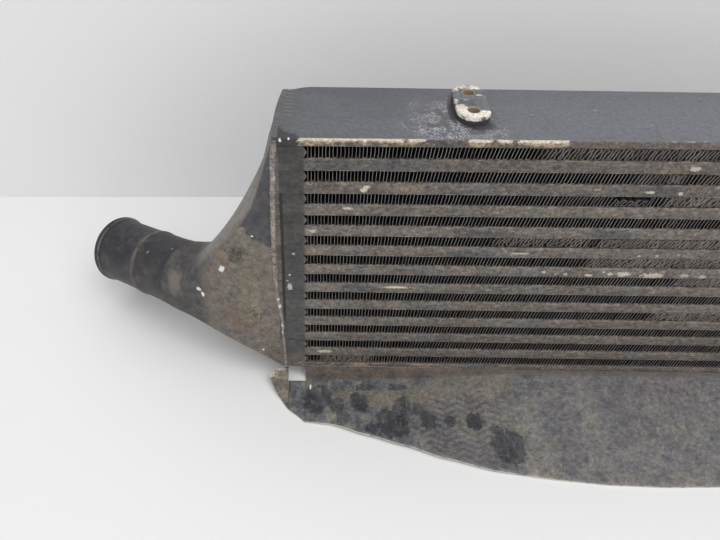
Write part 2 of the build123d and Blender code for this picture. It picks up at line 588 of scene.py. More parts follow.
def solid(bm: BMesh, rings: Sequence[Sequence[Vector]]) -> None:
    """Skin a row of rings and close both ends.

    Args:
        bm: The mesh.
        rings: The rings in order.
    """
    made = loft(bm, rings)
    for ring in (made[0], made[-1]):
        bmesh.ops.triangle_fill(bm, use_beauty=True, edges=ring_edges(bm, ring))


def shell(side: "Side", rings: Sequence[Sequence[Vector]]) -> BMesh:
    """Skin a row of rings and join the last to the first.

    Args:
        side: LEFT leaves the rings and RIGHT mirrors them about the middle.
        rings: The rings in order.

    Returns:
        The mesh.
    """
    turn = -side.value
    bm = bmesh.new()
    made = loft(bm, [[Vector((p.x * turn, p.y, p.z)) for p in ring] for ring in rings])
    bmesh.ops.bridge_loops(bm, edges=ring_edges(bm, made[0], made[-1]))
    return bm


def keep(
    bm: BMesh,
    name: str,
    material: Material,
    nodes: Sequence[str],
    sharp: float = 35.0,
    outward: bool = True,
) -> Piece:
    """Turn a mesh in millimetres into a piece of the object.

    Args:
        bm: The mesh, which is freed.
        name: Name of the piece.
        material: Its finish.
        nodes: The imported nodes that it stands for.
        sharp: Angle in degrees above which an edge stays sharp.
        outward: True to point every face out.

    Returns:
        The piece.
    """
    bmesh.ops.remove_doubles(bm, verts=bm.verts, dist=MERGE)
    if outward:
        bmesh.ops.recalc_face_normals(bm, faces=bm.faces)
    bmesh.ops.scale(bm, vec=(MM, MM, MM), verts=bm.verts)
    mesh = bpy.data.meshes.new(name)
    bm.to_mesh(mesh)
    bm.free()
    mesh.shade_smooth()
    mesh.set_sharp_from_angle(angle=radians(sharp))
    mesh.materials.append(material)
    piece = bpy.data.objects.new(name, mesh)
    bpy.context.scene.collection.objects.link(piece)
    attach(piece, "root")
    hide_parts(*nodes)
    return piece


def thicken(piece: Piece, name: str, thickness: float) -> None:
    """Give a sheet its thickness, half to each side.

    Args:
        piece: The piece.
        name: Name of the modifier.
        thickness: The thickness in millimetres.
    """
    made = piece.modifiers.new(name, "SOLIDIFY")
    made.thickness = thickness * MM
    made.offset = 0.0


# ============================================================ sizes
class Side(Enum):
    """The two ends of the object."""

    LEFT = -1
    RIGHT = 1

    @property
    def word(self) -> str:
        """Its name in lower case."""
        return self.name.lower()


@dataclass(frozen=True)
class CoreSizes:
    """Sizes of the core in millimetres."""

    length: float = 600.0
    depth: float = 70.0
    plate: float = 6.0
    rows: int = 12
    fin_height: float = 9.2
    passage_height: float = 9.8
    sheet: float = 0.6
    bar: float = 8.0
    end_bar: float = 20.0
    nose: float = 2.5
    corner_cut: float = 4.6
    cut_from: float = -22.0
    cut_run: float = 55.0
    cut_foot: float = 190.0
    cut_rise: float = 30.0

    @property
    def height(self) -> float:
        """Height over both side plates."""
        return 2 * self.plate + self.rows * self.fin_height + (self.rows - 1) * self.passage_height

    @property
    def pitch(self) -> float:
        """Distance from one fin row to the next."""
        return self.fin_height + self.passage_height

    @property
    def half(self) -> float:
        """Half the length."""
        return self.length / 2

    @property
    def front(self) -> float:
        """Y of the air-entry face."""
        return -self.depth / 2

    def row_middle(self, row: int) -> float:
        """Middle height of a fin row, counted from 0 at the bottom."""
        return self.plate + self.fin_height / 2 + row * self.pitch

    def passage_middle(self, row: int) -> float:
        """Middle height of a charge passage, counted from 0 at the bottom."""
        return self.plate + self.fin_height + self.passage_height / 2 + row * self.pitch

    def stations(self, steps: int) -> list[float]:
        """X of even steps along the core."""
        return spread(-self.half, self.half, steps)

    def cut_back(self, y: float, cut: float) -> float:
        """How far the top left corner is cut back at a depth.

        Args:
            y: Place from front to rear.
            cut: The cut at the rear.

        Returns:
            The cut there.
        """
        share = clamp((y - self.cut_from) / self.cut_run)
        return cut * share * share

    def cut_share(self, z: float) -> float:
        """Share of the top left cut at a height."""
        return clamp((z - self.cut_foot) / self.cut_rise)


CORE = CoreSizes()
LUG_X, LUG_Y, LUG_RISE, LUG_DROP = 165.0, 6.5, 6.0, -14.5


# ============================================================ finishes
@dataclass(frozen=True)
class PlatePaint:
    """Dark grey satin paint on the side plates, worn white along edges and round lugs."""

    name: str = "plate_paint"
    seed: float = 3.0
    bare: Table = (
        (-284, -250), (-252, -214), (-211, -200), (-170, -158), (-154, -143), (-139, -106),
    )
    chips: Sequence[tuple[Point, float]] = (
        ((-295.2, -35.0, 228.8), 1.1), ((-289.4, -34.4, 230.0), 0.9),
    )

    def make(self) -> Material:
        """Build the material."""
        s = Shader(self.name, self.seed)
        cloud = s.grain(70.0, 4.0, 0.6, stretch=(0.5, 1, 1))
        streak = s.grain(9.0, 3.0, 0.6, stretch=(0.12, 1, 1), shift=40)
        fine = s.grain(1.6, 3.0, 0.7, shift=11)
        top = s.z.step(200, 210)
        paint = s.coat(cloud.step(0.35, 0.66), (80, 82, 87), (92, 95, 100))
        paint.lay(streak.step(0.45, 0.75) * 0.4, (98, 100, 105))
        paint.lay(s.x.step(-280, -60) * 0.6, (107, 109, 115))
        smudge = s.grain(26.0, 4.0, 0.7, shift=93).step(0.56, 0.70)
        paint.lay(smudge * 0.3, (88, 84, 86))
        paint.mottle(3.0, 0.35, 0.15, shift=12)
        swirl = self.scuff(s, paint, top)
        side = abs(s.normal("Z")).step(0.8, 0.4)
        low = s.grain(5.0, 4.0, 0.7, stretch=(0.5, 1, 1), shift=61)
        crust = self.crust(s)
        paint.lay((1.0 - top) * s.z.step(3.0, 5.5) * 0.9, (74, 67, 62))
        paint.lay(side, self.flank(s, top, low, crust))
        # worn front arris of the top plate
        rag_y = (s.grain(6.0, 4.0, 0.8, stretch=(0.6, 1, 1), shift=23) - 0.5) * 1.8
        rim = top * (1.0 - side) * (s.y + rag_y).step(-33.7, -34.4)
        bright = crust | s.grain(13.0, 3.0, 0.7, shift=25).step(0.52, 0.58) * 0.55
        paint.lay(rim * bright * 0.9, (206, 200, 184))
        self.heat(s, paint, top, side, fine)
        rough = 0.42 + smudge * 0.10 + fine * 0.12 + swirl * 0.25 + side * 0.25
        height = fine * 0.25 + low * 0.2 + swirl * 0.5
        return s.close(paint, rough, 0.0, height, 0.25)

    def scuff(self, s: Shader, paint: Coat, top: Value) -> Value:
        """Lay scuffed swirls, bloom and specks round the left lug, and painted shade under its
        front and left side.

        Args:
            s: The material in hand.
            paint: Its coat so far.
            top: 1 on the top plate.

        Returns:
            1 on the swirls.
        """
        lug = s.near((-180, -14, 230), 25.0, 0.8, 0.8, (0.95, 0.8, 1.0))
        swirl = abs(s.grain(4.4, 3.0, 0.6, shift=77, warp=2.0) - 0.5).step(0.05, 0.012)
        swirl = swirl * s.grain(9.0, 3.0, 0.6, shift=79).step(0.38, 0.54) * lug
        paint.lay(lug * 0.45, (72, 68, 75))
        paint.lay(swirl * 0.85, (200, 199, 202))
        # painted shade on the plate under the lug's front and left side
        under = s.near((-161, -16, 230), 8.5, 0.7, 0.4, (0.8, 1.2, 1.0))
        under = under | s.near((-178, 2, 230), 6.0, 0.7, 0.4, (2.0, 0.4, 1.0))
        paint.lay(under * 0.85, (42, 39, 45))
        pit = s.near((-165, -6, 230), 4.3, 0.1, 0.0) | s.near((-165, 19, 230), 4.3, 0.1, 0.0)
        paint.lay(pit * top, (128, 114, 94))
        specks = s.flecks(4.5, 0.045, shift=31) * s.grain(40.0, 2.0, shift=33).step(0.42, 0.6)
        paint.lay(specks * 0.55, (188, 188, 190))
        return swirl

    def flank(self, s: Shader, top: Value, low: Value, crust: Value) -> Coat:
        """Colour the sides of the plates: bare metal, dirt and tan crust.

        Args:
            s: The material in hand.
            top: 1 on the top plate.
            low: Small noise.
            crust: 1 where the top plate's paint has gone.

        Returns:
            The coat of the sides.
        """
        flank = s.coat(low.step(0.38, 0.62), (86, 78, 72), (116, 108, 98))
        flank.lay(s.grain(22.0, 3.0, shift=71).step(0.45, 0.62) * 0.7, (92, 94, 98))
        flank.lay(top * s.x.step(-205, -190) * 0.45, (86, 76, 68))
        rag = (s.grain(9.0, 4.0, 0.75, stretch=(0.6, 1, 0.8), shift=17) - 0.5) * 17.0
        torn = s.grain(2.4, 4.0, 0.8, shift=18)
        tan = crust * (s.z + rag).step(225.4, 226.8)
        flank.lay(top * (1.0 - tan) * rag.step(-0.5, -2.5) * 0.7, (72, 64, 60))
        flank.lay(tan * 0.85, s.coat(low.step(0.35, 0.6), (126, 110, 88), (162, 147, 122)))
        pale = crust * (s.z + rag * 0.22 + (torn - 0.5) * 5.0).step(228.2, 228.9)
        flank.lay(pale * 0.85, (204, 196, 178))
        pink = (1.0 - top) * s.near((-215, CORE.front, 3), 60.0, 0.6, 0.3)
        flank.lay(pink * low.step(0.45, 0.6) * 0.6, (148, 132, 122))
        lip = (s.z + (low - 0.5) * 2.0).step(1.4, 0.7)
        lip = lip * s.x.step(-279, -276) * s.x.step(-60, -160)
        flank.lay(lip * 0.8, (178, 164, 152))
        return flank.mottle(2.2, 0.8, 0.25, shift=88)

    def heat(self, s: Shader, paint: Coat, top: Value, side: Value, fine: Value) -> None:
        """Lay weld heat, cracks and chips by the tanks, painted highlights and shade on the weld
        ripples, and painted shade on every level face.

        Args:
            s: The material in hand.
            paint: Its coat so far.
            top: 1 on the top plate.
            side: 1 on the sides of the plates.
            fine: Fine noise.
        """
        paint.lay(abs(s.x).step(281, 297) * 0.4, (78, 76, 76))
        # painted shade: every level face of the plates is darkened a little towards black
        paint.lay((1.0 - side) * 0.14, (20, 20, 22))
        # painted highlights and shade: light and dark lines stand in for light on the flush weld's
        # ripples
        ripple = s.math("SINE", s.y * 1.25 + (fine - 0.5) * 1.5)
        seam = top * s.x.step(-295.5, -293.5) * s.x.step(-286.5, -289.0) * s.y.step(-12, 2)
        paint.lay(seam * ripple.step(0.3, 0.9) * 0.35, (132, 132, 136))
        paint.lay(seam * ripple.step(-0.3, -0.9) * 0.4, (62, 60, 64))
        crack = s.near((-292, CORE.front, 228), 7.5, 0.4, 0.6, (0.8, 0.8, 1.0))
        crack = crack | s.near((-297.5, -28, 230), 4.5, 0.5, 0.6, (1.0, 0.5, 0.6))
        paint.lay(crack * 0.88, (44, 40, 42))
        for centre, radius in self.chips:
            chip = s.near(centre, radius, 0.3, 1.1, (1.4, 1.0, 0.8))
            paint.lay(chip * 0.9, (220, 216, 212))

    def crust(self, s: Shader) -> Value:
        """Stretches of the top plate's front edge where the paint has gone.

        Args:
            s: The material in hand.

        Returns:
            1 on them and 0 off them.
        """
        made = None
        place = s.x + (s.grain(5.0, 4.0, 0.75, shift=19) - 0.5) * 12.0
        for start, end in self.bare:
            part = place.step(start - 1.0, start + 1.0) * place.step(end + 1.0, end - 1.0)
            made = part if made is None else made | part
        return made


@dataclass(frozen=True)
class BarMetal:
    """Bare aluminium bars under road dirt, tan chips and oxide."""

    name: str = "bar_metal"
    seed: float = 0.0
    chips: Sequence[tuple[float, float, float, float, float]] = (
        (-238.2, 189.6, 2.0, 0.9, 0.8), (-236.0, 192.2, 1.8, 0.8, 0.8),
        (-248.6, 173.8, 1.2, 0.35, 0.7), (-273.3, 153.0, 1.8, 0.7, 0.6),
        (-208.0, 97.3, 1.3, 0.14, 0.9), (-18.6, 209.8, 2.2, 0.6, 0.6),
        (-97.1, 115.3, 1.3, 0.9, 0.8), (-87.8, 113.3, 0.9, 1.0, 0.7), (-80.5, 113.4, 1.4, 0.9, 0.6),
        (-63.0, 112.6, 1.4, 0.5, 0.8), (-52.1, 115.8, 1.2, 1.0, 0.7), (-46.8, 114.0, 1.8, 0.9, 0.8),
        (-36.5, 114.0, 2.6, 0.6, 0.8), (-15.0, 113.0, 3.2, 0.4, 0.7), (9.4, 113.4, 2.0, 0.6, 0.5),
        (23.3, 112.4, 1.8, 0.6, 0.6), (-41.9, 190.2, 1.4, 0.5, 0.8), (-21.0, 189.2, 1.7, 1.2, 0.7),
        (-119.0, 133.6, 1.0, 0.14, 0.6), (-30.9, 132.3, 1.3, 1.0, 0.5),
        (-17.8, 132.6, 1.1, 1.0, 0.6), (-2.2, 134.2, 1.1, 1.0, 0.4), (-262.0, 20.4, 1.9, 0.3, 0.7),
    )
    stains: Sequence[tuple[float, float, float, float]] = (
        (-206.1, 191.2, 4.5, 0.55), (-271.2, 133.5, 4.5, 0.5), (-35.2, 208.0, 4.0, 0.5),
        (-273.2, 116.6, 3.5, 0.5), (-121.8, 228.0, 5.0, 0.5), (-66.0, 172.5, 5.0, 0.35),
        (-158.0, 116.0, 6.0, 0.4), (-104.0, 172.0, 4.5, 0.45),
    )
    scuffs: Sequence[tuple[float, float, float]] = (
        (-259.6, 208.5, 7.5), (-220.0, 211.3, 6.0), (-160.2, 152.5, 6.0), (-142.3, 151.8, 5.0),
        (-158.3, 132.0, 7.0), (-32.0, 190.5, 9.0), (-57.0, 152.0, 7.0), (-240.0, 96.0, 7.0),
    )

    def make(self) -> Material:
        """Build the material."""
        s = Shader(self.name, self.seed)
        cloud = s.grain(34.0, 4.0, 0.65, stretch=(0.55, 1, 1.5))
        mid = s.grain(7.0, 4.0, 0.7, stretch=(0.6, 1, 1.2), shift=13)
        fine = s.grain(1.8, 3.0, 0.7, shift=29)
        tint = s.ramp(
            cloud * 0.5 + mid * 0.5,
            (0.34, 80, 75, 72), (0.46, 100, 94, 89),
            (0.56, 110, 104, 99), (0.68, 118, 115, 114),
        )
        tint.lay(s.z.step(160, 225) * 0.75, (84, 78, 74))
        blue = s.grain(15.0, 4.0, 0.65, stretch=(0.6, 1, 1.4), shift=101).step(0.55, 0.66)
        tint.lay(blue * 0.4, (90, 92, 96))
        brown = s.grain(11.0, 4.0, 0.7, stretch=(0.6, 1, 1.4), shift=151).step(0.55, 0.66)
        tint.lay(brown * 0.4, (112, 100, 84))
        for x, z, radius, amount in self.stains:
            stain = s.near((x, CORE.front, z), radius, 0.9, 0.8, (0.55, 1, 1.3))
            tint.lay(stain * amount * 0.8, (136, 120, 98))
        for x, z, radius in self.scuffs:
            scuff = s.near((x, CORE.front, z), radius, 0.8, 1.0, (0.5, 1, 1.6))
            tint.lay(scuff * 0.6, (64, 66, 70))
        tint.mottle(4.2, 0.6, 0.22, shift=44, stretch=(0.8, 1, 1.2))
        tint.mottle(1.7, 0.7, 0.16, shift=46, stretch=(0.9, 1, 1))
        # scratches along the bars, and the pale dotted edges of the parting sheets
        scratch = s.grain(2.6, 3.0, 0.6, stretch=(0.10, 1, 1.6), shift=91).step(0.60, 0.68)
        tint.lay(scratch * 0.28, (160, 152, 142))
        height_in = s.math("MODULO", s.z - (CORE.plate + CORE.fin_height), CORE.pitch)
        edge = height_in.step(0.95, 0.45) | (height_in.step(9.0, 9.35) * height_in.step(10.4, 9.9))
        dotted = edge * s.grain(3.2, 3.0, 0.8, stretch=(0.5, 1, 0.4), shift=71).step(0.48, 0.60)
        tint.lay(dotted * 0.6, (164, 152, 134))
        tint.lay(edge * fine.step(0.52, 0.38) * 0.35, (66, 60, 58))
        chip = s.flecks(7.0, 0.07, shift=19, stretch=(0.6, 1, 1.3))
        tint.lay(chip * 0.55, (172, 158, 136))
        for x, z, radius, stretch, amount in self.chips:
            spot = s.near((x, CORE.front, z), radius, 0.4, 1.3, (stretch, 1, 1.2))
            broken = fine.step(0.25, 0.5) * (0.6 * amount) + 0.4 * amount
            tint.lay(spot * broken, (212, 203, 184))
        self.dress_header(s, tint, mid, cloud)
        # painted shade: the faces inside the fin rows are painted nearly black
        inside = s.y.step(-34.75, -33.2) * s.y.step(34.75, 33.2)
        tint.lay(inside * 0.96, (12, 11, 12))
        rough = 0.55 + fine * 0.2 + inside * 0.2
        height = fine * 0.35 + mid * 0.5 + chip * 0.2
        return s.close(tint, rough, 0.12, height, 0.35)

    def dress_header(self, s: Shader, tint: Coat, mid: Value, cloud: Value) -> None:
        """Darken the ends of the core, with specks and a painted groove shadow by the weld.

        Args:
            s: The material in hand.
            tint: Its coat so far.
            mid: Middle-sized noise.
            cloud: Large noise.
        """
        zone = (abs(s.x) + (mid - 0.5) * 3.0).step(277.6, 280.6)
        dark = s.coat(mid.step(0.35, 0.65), (50, 50, 51), (66, 65, 63))
        dark.lay(s.z.step(170, 20) * 0.55, (80, 82, 84))
        dark.lay(cloud.step(0.5, 0.66) * 0.5, (88, 84, 74))
        dark.lay(s.z.step(26, 12) * 0.8, (100, 92, 86))
        dark.mottle(3.0, 0.55, 0.25, shift=5)
        tint.lay(zone * 0.92, dark)
        specks = s.flecks(4.0, 0.05, shift=43) * zone
        tint.lay(specks * 0.6, (150, 150, 146))
        for x, z, radius, stretch in (
            (-291.0, 96.9, 2.3, (1.2, 1, 0.7)), (-290.8, 109.1, 0.9, (1, 1, 1)),
            (-287.4, 130.6, 1.0, (1, 1, 1)), (-292.5, 103.0, 0.7, (1, 1, 1)),
        ):
            spot = s.near((x, CORE.front, z), radius, 0.4, 1.0, stretch)
            tint.lay(spot * 0.8, (190, 194, 194))
        # a ledge runs beside the weld, and beside it a dark band is painted as the shade of a
        # groove that the shape does not have
        where = abs(s.x) + (mid - 0.5) * 1.5
        groove_shade = where.step(294.1, 294.9) * where.step(297.4, 296.6)
        groove_shade = groove_shade * s.z.step(188, 185) * s.z.step(50, 70)
        tint.lay(groove_shade * 0.88, (30, 28, 27))
        ledge = where.step(296.4, 297.2)
        tint.lay(ledge * 0.55, s.coat(mid.step(0.4, 0.6), (84, 78, 72), (120, 112, 104)))


@dataclass(frozen=True)
class FinMetal:
    """Thin aluminium fins: dull grey at their edges and painted near black inside as shade, paler
    and browner where folded.
    """

    name: str = "fin_metal"
    seed: float = 0.0

    def make(self) -> Material:
        """Build the material."""
        s = Shader(self.name, self.seed)
        cloud = s.grain(16.0, 3.0, 0.6, stretch=(1, 1, 0.5))
        fine = s.grain(1.2, 3.0, 0.7, shift=9)
        deep = s.attribute("deep")
        folded = s.attribute("folded")
        edge = s.coat(cloud.step(0.35, 0.65), (112, 108, 108), (148, 144, 142))
        edge.lay(fine.step(0.54, 0.70) * 0.6, (186, 178, 166))
        edge.lay(fine.step(0.44, 0.30) * 0.6, (84, 80, 80))
        dull = s.coat(cloud.step(0.4, 0.6), (96, 88, 82), (122, 112, 104))
        dull.mottle(2.4, 0.9, 0.4, shift=31)
        edge.lay(folded * 0.75, dull)
        edge.lay(s.grain(9.0, 3.0, shift=57).step(0.56, 0.66) * 0.5, (112, 96, 78))
        # painted shade: the fins darken to near black with depth behind the face; where folded, the
        # hollows stay paler and browner, partly dust and partly painted light
        far = deep * (1.0 - folded * 0.72)
        shade_and_dust = s.coat(folded * 0.8, (9, 8, 10), (46, 41, 38))
        shade_and_dust.lay(folded * s.z.step(22, 16), (84, 75, 68))
        tint = s.coat(far.step(0.02, 0.30), edge, shade_and_dust)
        rough = 0.5 + fine * 0.2 + deep * 0.3
        return s.close(tint, rough, 0.15, fine * 0.2, 0.2)


@dataclass(frozen=True)
class TankMetal:
    """Cast and welded aluminium tank: grey-brown dirt over dark blue-grey paint."""

    name: str = "tank_metal"
    seed: float = 0.0

    def make(self) -> Material:
        """Build the material."""
        s = Shader(self.name, self.seed)
        cloud = s.grain(40.0, 4.0, 0.6, stretch=(1, 1, 0.6))
        mid = s.grain(10.0, 4.0, 0.68, shift=21)
        fine = s.grain(1.9, 3.0, 0.7, shift=33)
        tint = s.ramp(
            cloud * 0.5 + mid * 0.5,
            (0.32, 84, 79, 75), (0.46, 104, 97, 89),
            (0.56, 112, 104, 95), (0.70, 120, 115, 108),
        )
        olive = s.near((-322, -33, 96), 24.0, 1.1, 0.7, (2.4, 0.4, 0.5))
        tint.lay(olive * 0.4, (124, 116, 96))
        rust = s.grain(13.0, 4.0, 0.7, shift=64).step(0.56, 0.66)
        tint.lay(rust * 0.3, (108, 92, 80))
        grey = s.grain(18.0, 3.0, 0.6, shift=84).step(0.55, 0.66)
        tint.lay(grey * 0.45, (94, 94, 98))
        tint.mottle(7.0, 0.5, 0.2, shift=7)
        tint.mottle(2.4, 0.4, 0.12, shift=4)
        tint.lay(fine.step(0.60, 0.75) * 0.3, (146, 138, 128))
        self.shade(s, tint, cloud, mid, fine)
        marks = self.mark(s, tint, fine)
        pits = s.flecks(3.5, 0.06, shift=75)
        tint.lay(pits * 0.5, (60, 54, 50))
        rough = 0.48 + fine * 0.2 + rust * 0.12
        height = fine * 0.3 + mid * 0.8 + marks * -0.5 - pits * 0.3
        dust = s.near((-391, 2, 67), 9.0, 1.0, 0.9, (1.2, 0.8, 0.9))
        tint.lay(dust * 0.6, (128, 119, 110))
        return s.close(tint, rough, 0.10, height, 0.35)

    def shade(self, s: Shader, tint: Coat, cloud: Value, mid: Value, fine: Value) -> None:
        """Colour the neck, the stains and the upper corner, and paint the sloped top paler as light
        from above, over a brushed grain.

        Args:
            s: The material in hand.
            tint: Its coat so far.
            cloud: Large noise.
            mid: Middle-sized noise.
            fine: Fine noise.
        """
        # towards the neck the metal turns charcoal
        neck = (abs(s.x) + (cloud - 0.5) * 30.0 + (mid - 0.5) * 22.0 + s.z * 0.05).step(358, 372)
        char = s.coat(mid.step(0.4, 0.62), (48, 49, 53), (74, 71, 70))
        tint.lay(neck * 0.85, char.mottle(6.0, 0.6, 0.3, shift=9))
        for centre, radius, amount in (
            ((-343.0, -28.3, 119.8), 5.0, 0.55), ((-352.0, -24.0, 96.0), 4.5, 0.5),
            ((-326.0, -33.0, 52.0), 12.0, 0.35), ((-341.0, -29.0, 60.0), 10.0, 0.35),
        ):
            spot = s.near(centre, radius, 0.9, 0.8, (1.2, 0.4, 0.8))
            tint.lay(spot * (amount * 0.75), (120, 92, 68))
        # dark paint left in the upper corner by the weld
        reach = abs(s.x) * 0.95 - s.z - 155.5 + (mid - 0.5) * 26.0 + (fine - 0.5) * 5.0
        shadow = reach.step(2.5, -2.5) * s.y.step(-24, -33) * abs(s.x).step(300.5, 303.0)
        patch = s.coat(mid.step(0.4, 0.6), (56, 57, 63), (72, 72, 77))
        tint.lay(shadow * 0.92, patch.mottle(5.0, 0.4, 0.2, shift=3))
        # the sloped top is painted paler where it faces up, as painted light from above, over a
        # brushed grain
        slope = s.normal("Z").step(0.30, 0.55)
        brushed = s.grain(1.6, 3.0, 0.6, stretch=(1, 0.12, 1), shift=17)
        top = s.coat(brushed.step(0.35, 0.65), (110, 107, 102), (136, 131, 125))
        top.lay(mid.step(0.5, 0.64) * 0.5, (104, 96, 86))
        tint.lay(slope * abs(s.x).step(376, 352), top)

    def mark(self, s: Shader, tint: Coat, fine: Value) -> Value:
        """Lay the scuff, the chips and the scratches.

        Args:
            s: The material in hand.
            tint: Its coat so far.
            fine: Fine noise.

        Returns:
            1 on the scratches.
        """
        scuff = s.near((-331.4, -32, 126.3), 6.5, 0.7, 1.0, (1.1, 0.3, 0.9))
        tint.lay(scuff * fine.step(0.66, 0.40), (46, 44, 47))
        for centre, radius, stretch in (
            ((-344.0, -27.9, 109.6), 2.2, (1, 0.2, 1)), ((-345.0, -27.3, 107.2), 1.8, (1, 0.2, 1)),
            ((-367.6, -16.5, 75.0), 2.0, (1, 0.2, 0.9)),
            ((-364.4, -18.0, 70.6), 2.1, (1.5, 0.2, 0.7)),
            ((-318.0, -33.8, 146.8), 0.9, (1, 0.2, 1)), ((-315.0, -34.4, 21.0), 1.0, (1, 0.2, 1)),
        ):
            spot = s.near(centre, radius, 0.25, 0.9, stretch)
            tint.lay(spot * 0.95, (226, 224, 220))
        marks = s.grain(13.0, 3.0, 0.6, stretch=(1.0, 0.4, 0.6), shift=52) - 0.5
        marks = abs(marks).step(0.020, 0.006)
        marks = marks * s.near((-321, -33, 56), 17.0, 0.8, 0.6, (1, 0.4, 0.8))
        tint.lay(marks * 0.75, (50, 46, 46))
        return marks


@dataclass(frozen=True)
class PipeMetal:
    """Charcoal hose pipe with tan stains and a lighter ring."""

    name: str = "pipe_metal"
    seed: float = 0.0
    axis: Point = (0.79673, 0.57886, 0.17365)
    start: float = 315.64

    def make(self) -> Material:
        """Build the material."""
        s = Shader(self.name, self.seed)
        cloud = s.grain(26.0, 4.0, 0.62)
        mid = s.grain(8.0, 4.0, 0.7, shift=45)
        fine = s.grain(1.7, 3.0, 0.7, shift=81)
        ahead, across, up = self.axis
        along = abs(s.x) * ahead + s.y * across - s.z * up - self.start
        tint = s.ramp(
            cloud * 0.6 + mid * 0.4,
            (0.34, 26, 28, 34), (0.48, 38, 39, 44),
            (0.58, 56, 53, 54), (0.70, 80, 74, 71),
        )
        tint.mottle(7.0, 0.7, 0.35, shift=2)
        band = abs(along - 22.0 + (mid - 0.5) * 10.0).step(12.0, 4.0)
        tint.lay(band * 0.45, (40, 42, 50))
        tan = s.near((-391, 2, 66), 8.0, 1.0, 0.8, (1.1, 0.8, 0.8)) * 0.85
        tan = tan | (s.grain(16.0, 4.0, 0.7, shift=27).step(0.56, 0.70) * 0.22)
        tint.lay(tan, (134, 112, 86))
        ring = abs(along - 41.8 + (mid - 0.5) * 3.0).step(2.8, 0.8)
        ring = ring * s.grain(14.0, 3.0, shift=66).step(0.34, 0.56)
        tint.lay(ring * 0.5, (122, 114, 102))
        # painted shade in the crease at the foot of the rolled bead, and a painted highlight along
        # the bead's flank
        dark = abs(along - 88.6).step(1.3, 0.5)
        tint.lay(dark * 0.8, (26, 25, 28))
        lip = abs(along - 91.4).step(0.9, 0.3) * mid.step(0.40, 0.55)
        tint.lay(lip * 0.5, (130, 126, 130))
        tint.lay(fine.step(0.60, 0.74) * 0.3, (104, 100, 100))
        tint.lay(s.flecks(6.0, 0.04, shift=91) * 0.5, (150, 148, 146))
        rough = 0.40 + fine * 0.2 + tan * 0.2
        return s.close(tint, rough, 0.1, fine * 0.3 + mid * 0.4, 0.3)


@dataclass(frozen=True)
class WeldMetal:
    """Worn light weld, darker where its bump relief is low."""

    name: str = "weld_metal"
    seed: float = 0.0

    def make(self) -> Material:
        """Build the material."""
        s = Shader(self.name, self.seed)
        lump = s.grain(6.0, 4.0, 0.7, stretch=(1, 1, 0.5))
        fine = s.grain(1.3, 3.0, 0.75, shift=14)
        tint = s.ramp(
            lump * 0.5 + fine * 0.5,
            (0.34, 82, 75, 70), (0.45, 122, 114, 108),
            (0.56, 150, 142, 136), (0.70, 184, 176, 168),
        )
        tint.mottle(2.6, 0.7, 0.25, shift=61)
        top = s.z.step(224, 228)
        plain = Coat(s, (84, 85, 88)).mottle(3.0, 0.4, 0.2, shift=6)
        tint.lay(top * 0.88, plain)
        crumb = s.flecks(3.4, 0.16, shift=51) * (1.0 - top)
        tint.lay(crumb * 0.8, (216, 212, 204))
        for z in (45.0, 53.0, 84.0, 76.0):
            spot = s.near((-299, -37, z), 1.5, 0.4, 1.3, (0.8, 0.3, 0.8))
            tint.lay(spot * 0.9, (224, 220, 212))
        return s.close(tint, 0.42 + fine * 0.25, 0.25, fine * 0.5 + lump * 0.6, 0.5)


@dataclass(frozen=True)
class LugMetal:
    """Painted lug whose paint has lifted round the holes over white oxide."""

    name: str = "lug_metal"
    seed: float = 0.0
    middle: Point = (-165.0, 6.5, 236.0)

    def make(self) -> Material:
        """Build the material."""
        s = Shader(self.name, self.seed)
        cloud = s.grain(12.0, 4.0, 0.65)
        fine = s.grain(1.5, 3.0, 0.7, shift=8)
        x, y, z = self.middle
        tint = s.coat(cloud.step(0.35, 0.65), (76, 77, 84), (98, 102, 106))
        tint.mottle(3.0, 0.5, 0.2, shift=1)
        flat = (1.0, 1.0, 0.5)
        left = s.near((x - 9.0, y - 12.5, z), 6.2, 0.2, 0.45, (1.0, 0.8, 0.5))
        ahead = s.near((x - 1.5, y - 20.5, z), 5.0, 0.2, 0.35, (0.8, 1.1, 0.5))
        right = s.near((x + 7.5, y - 17.5, z), 6.0, 0.2, 0.3, (0.8, 1.35, 0.5))
        arc = s.near((x + 1.0, y + 20.0, z), 8.0, 0.25, 0.9, (0.75, 2.4, 0.5))
        corner = s.near((x - 9.5, y + 17.0, z), 3.2, 0.3, 0.6, flat)
        wisp = s.near((x + 6.5, y + 8.2, z), 1.7, 0.3, 1.2, (0.8, 1.4, 0.5))
        flake = s.near((x - 10.6, y - 0.5, z), 2.0, 0.3, 0.9, (1.0, 0.7, 0.5))
        flake = flake | s.near((x - 3.0, y + 1.2, z), 1.0, 0.3, 0.9, (0.6, 1.4, 0.5))
        crust = left | ahead | right | arc | corner | wisp | flake
        oxide = s.ramp(
            fine * 0.6 + cloud * 0.4,
            (0.40, 134, 120, 108), (0.48, 196, 188, 174), (0.60, 230, 228, 220),
        )
        # painted shade: the lug's sides below its top are painted near black
        low = s.z.step(z - 1.2, z - 2.6)
        tint.lay(low * 0.85, (40, 37, 41))
        tint.lay(crust * (s.z + (fine - 0.5) * 2.0).step(z - 2.6, z - 1.8), oxide)
        holes = s.near((x, y - 12.5, z - 3.0), 4.7, 0.15, 0.0, (1, 1, 0.3)) | s.near(
            (x, y + 12.5, z - 3.0), 4.7, 0.15, 0.0, (1, 1, 0.3)
        )
        tint.lay(holes * 0.95, (150, 134, 112))
        return s.close(tint, 0.5 + crust * 0.3, 0.0, fine * 0.6 + crust * 0.8, 0.5)


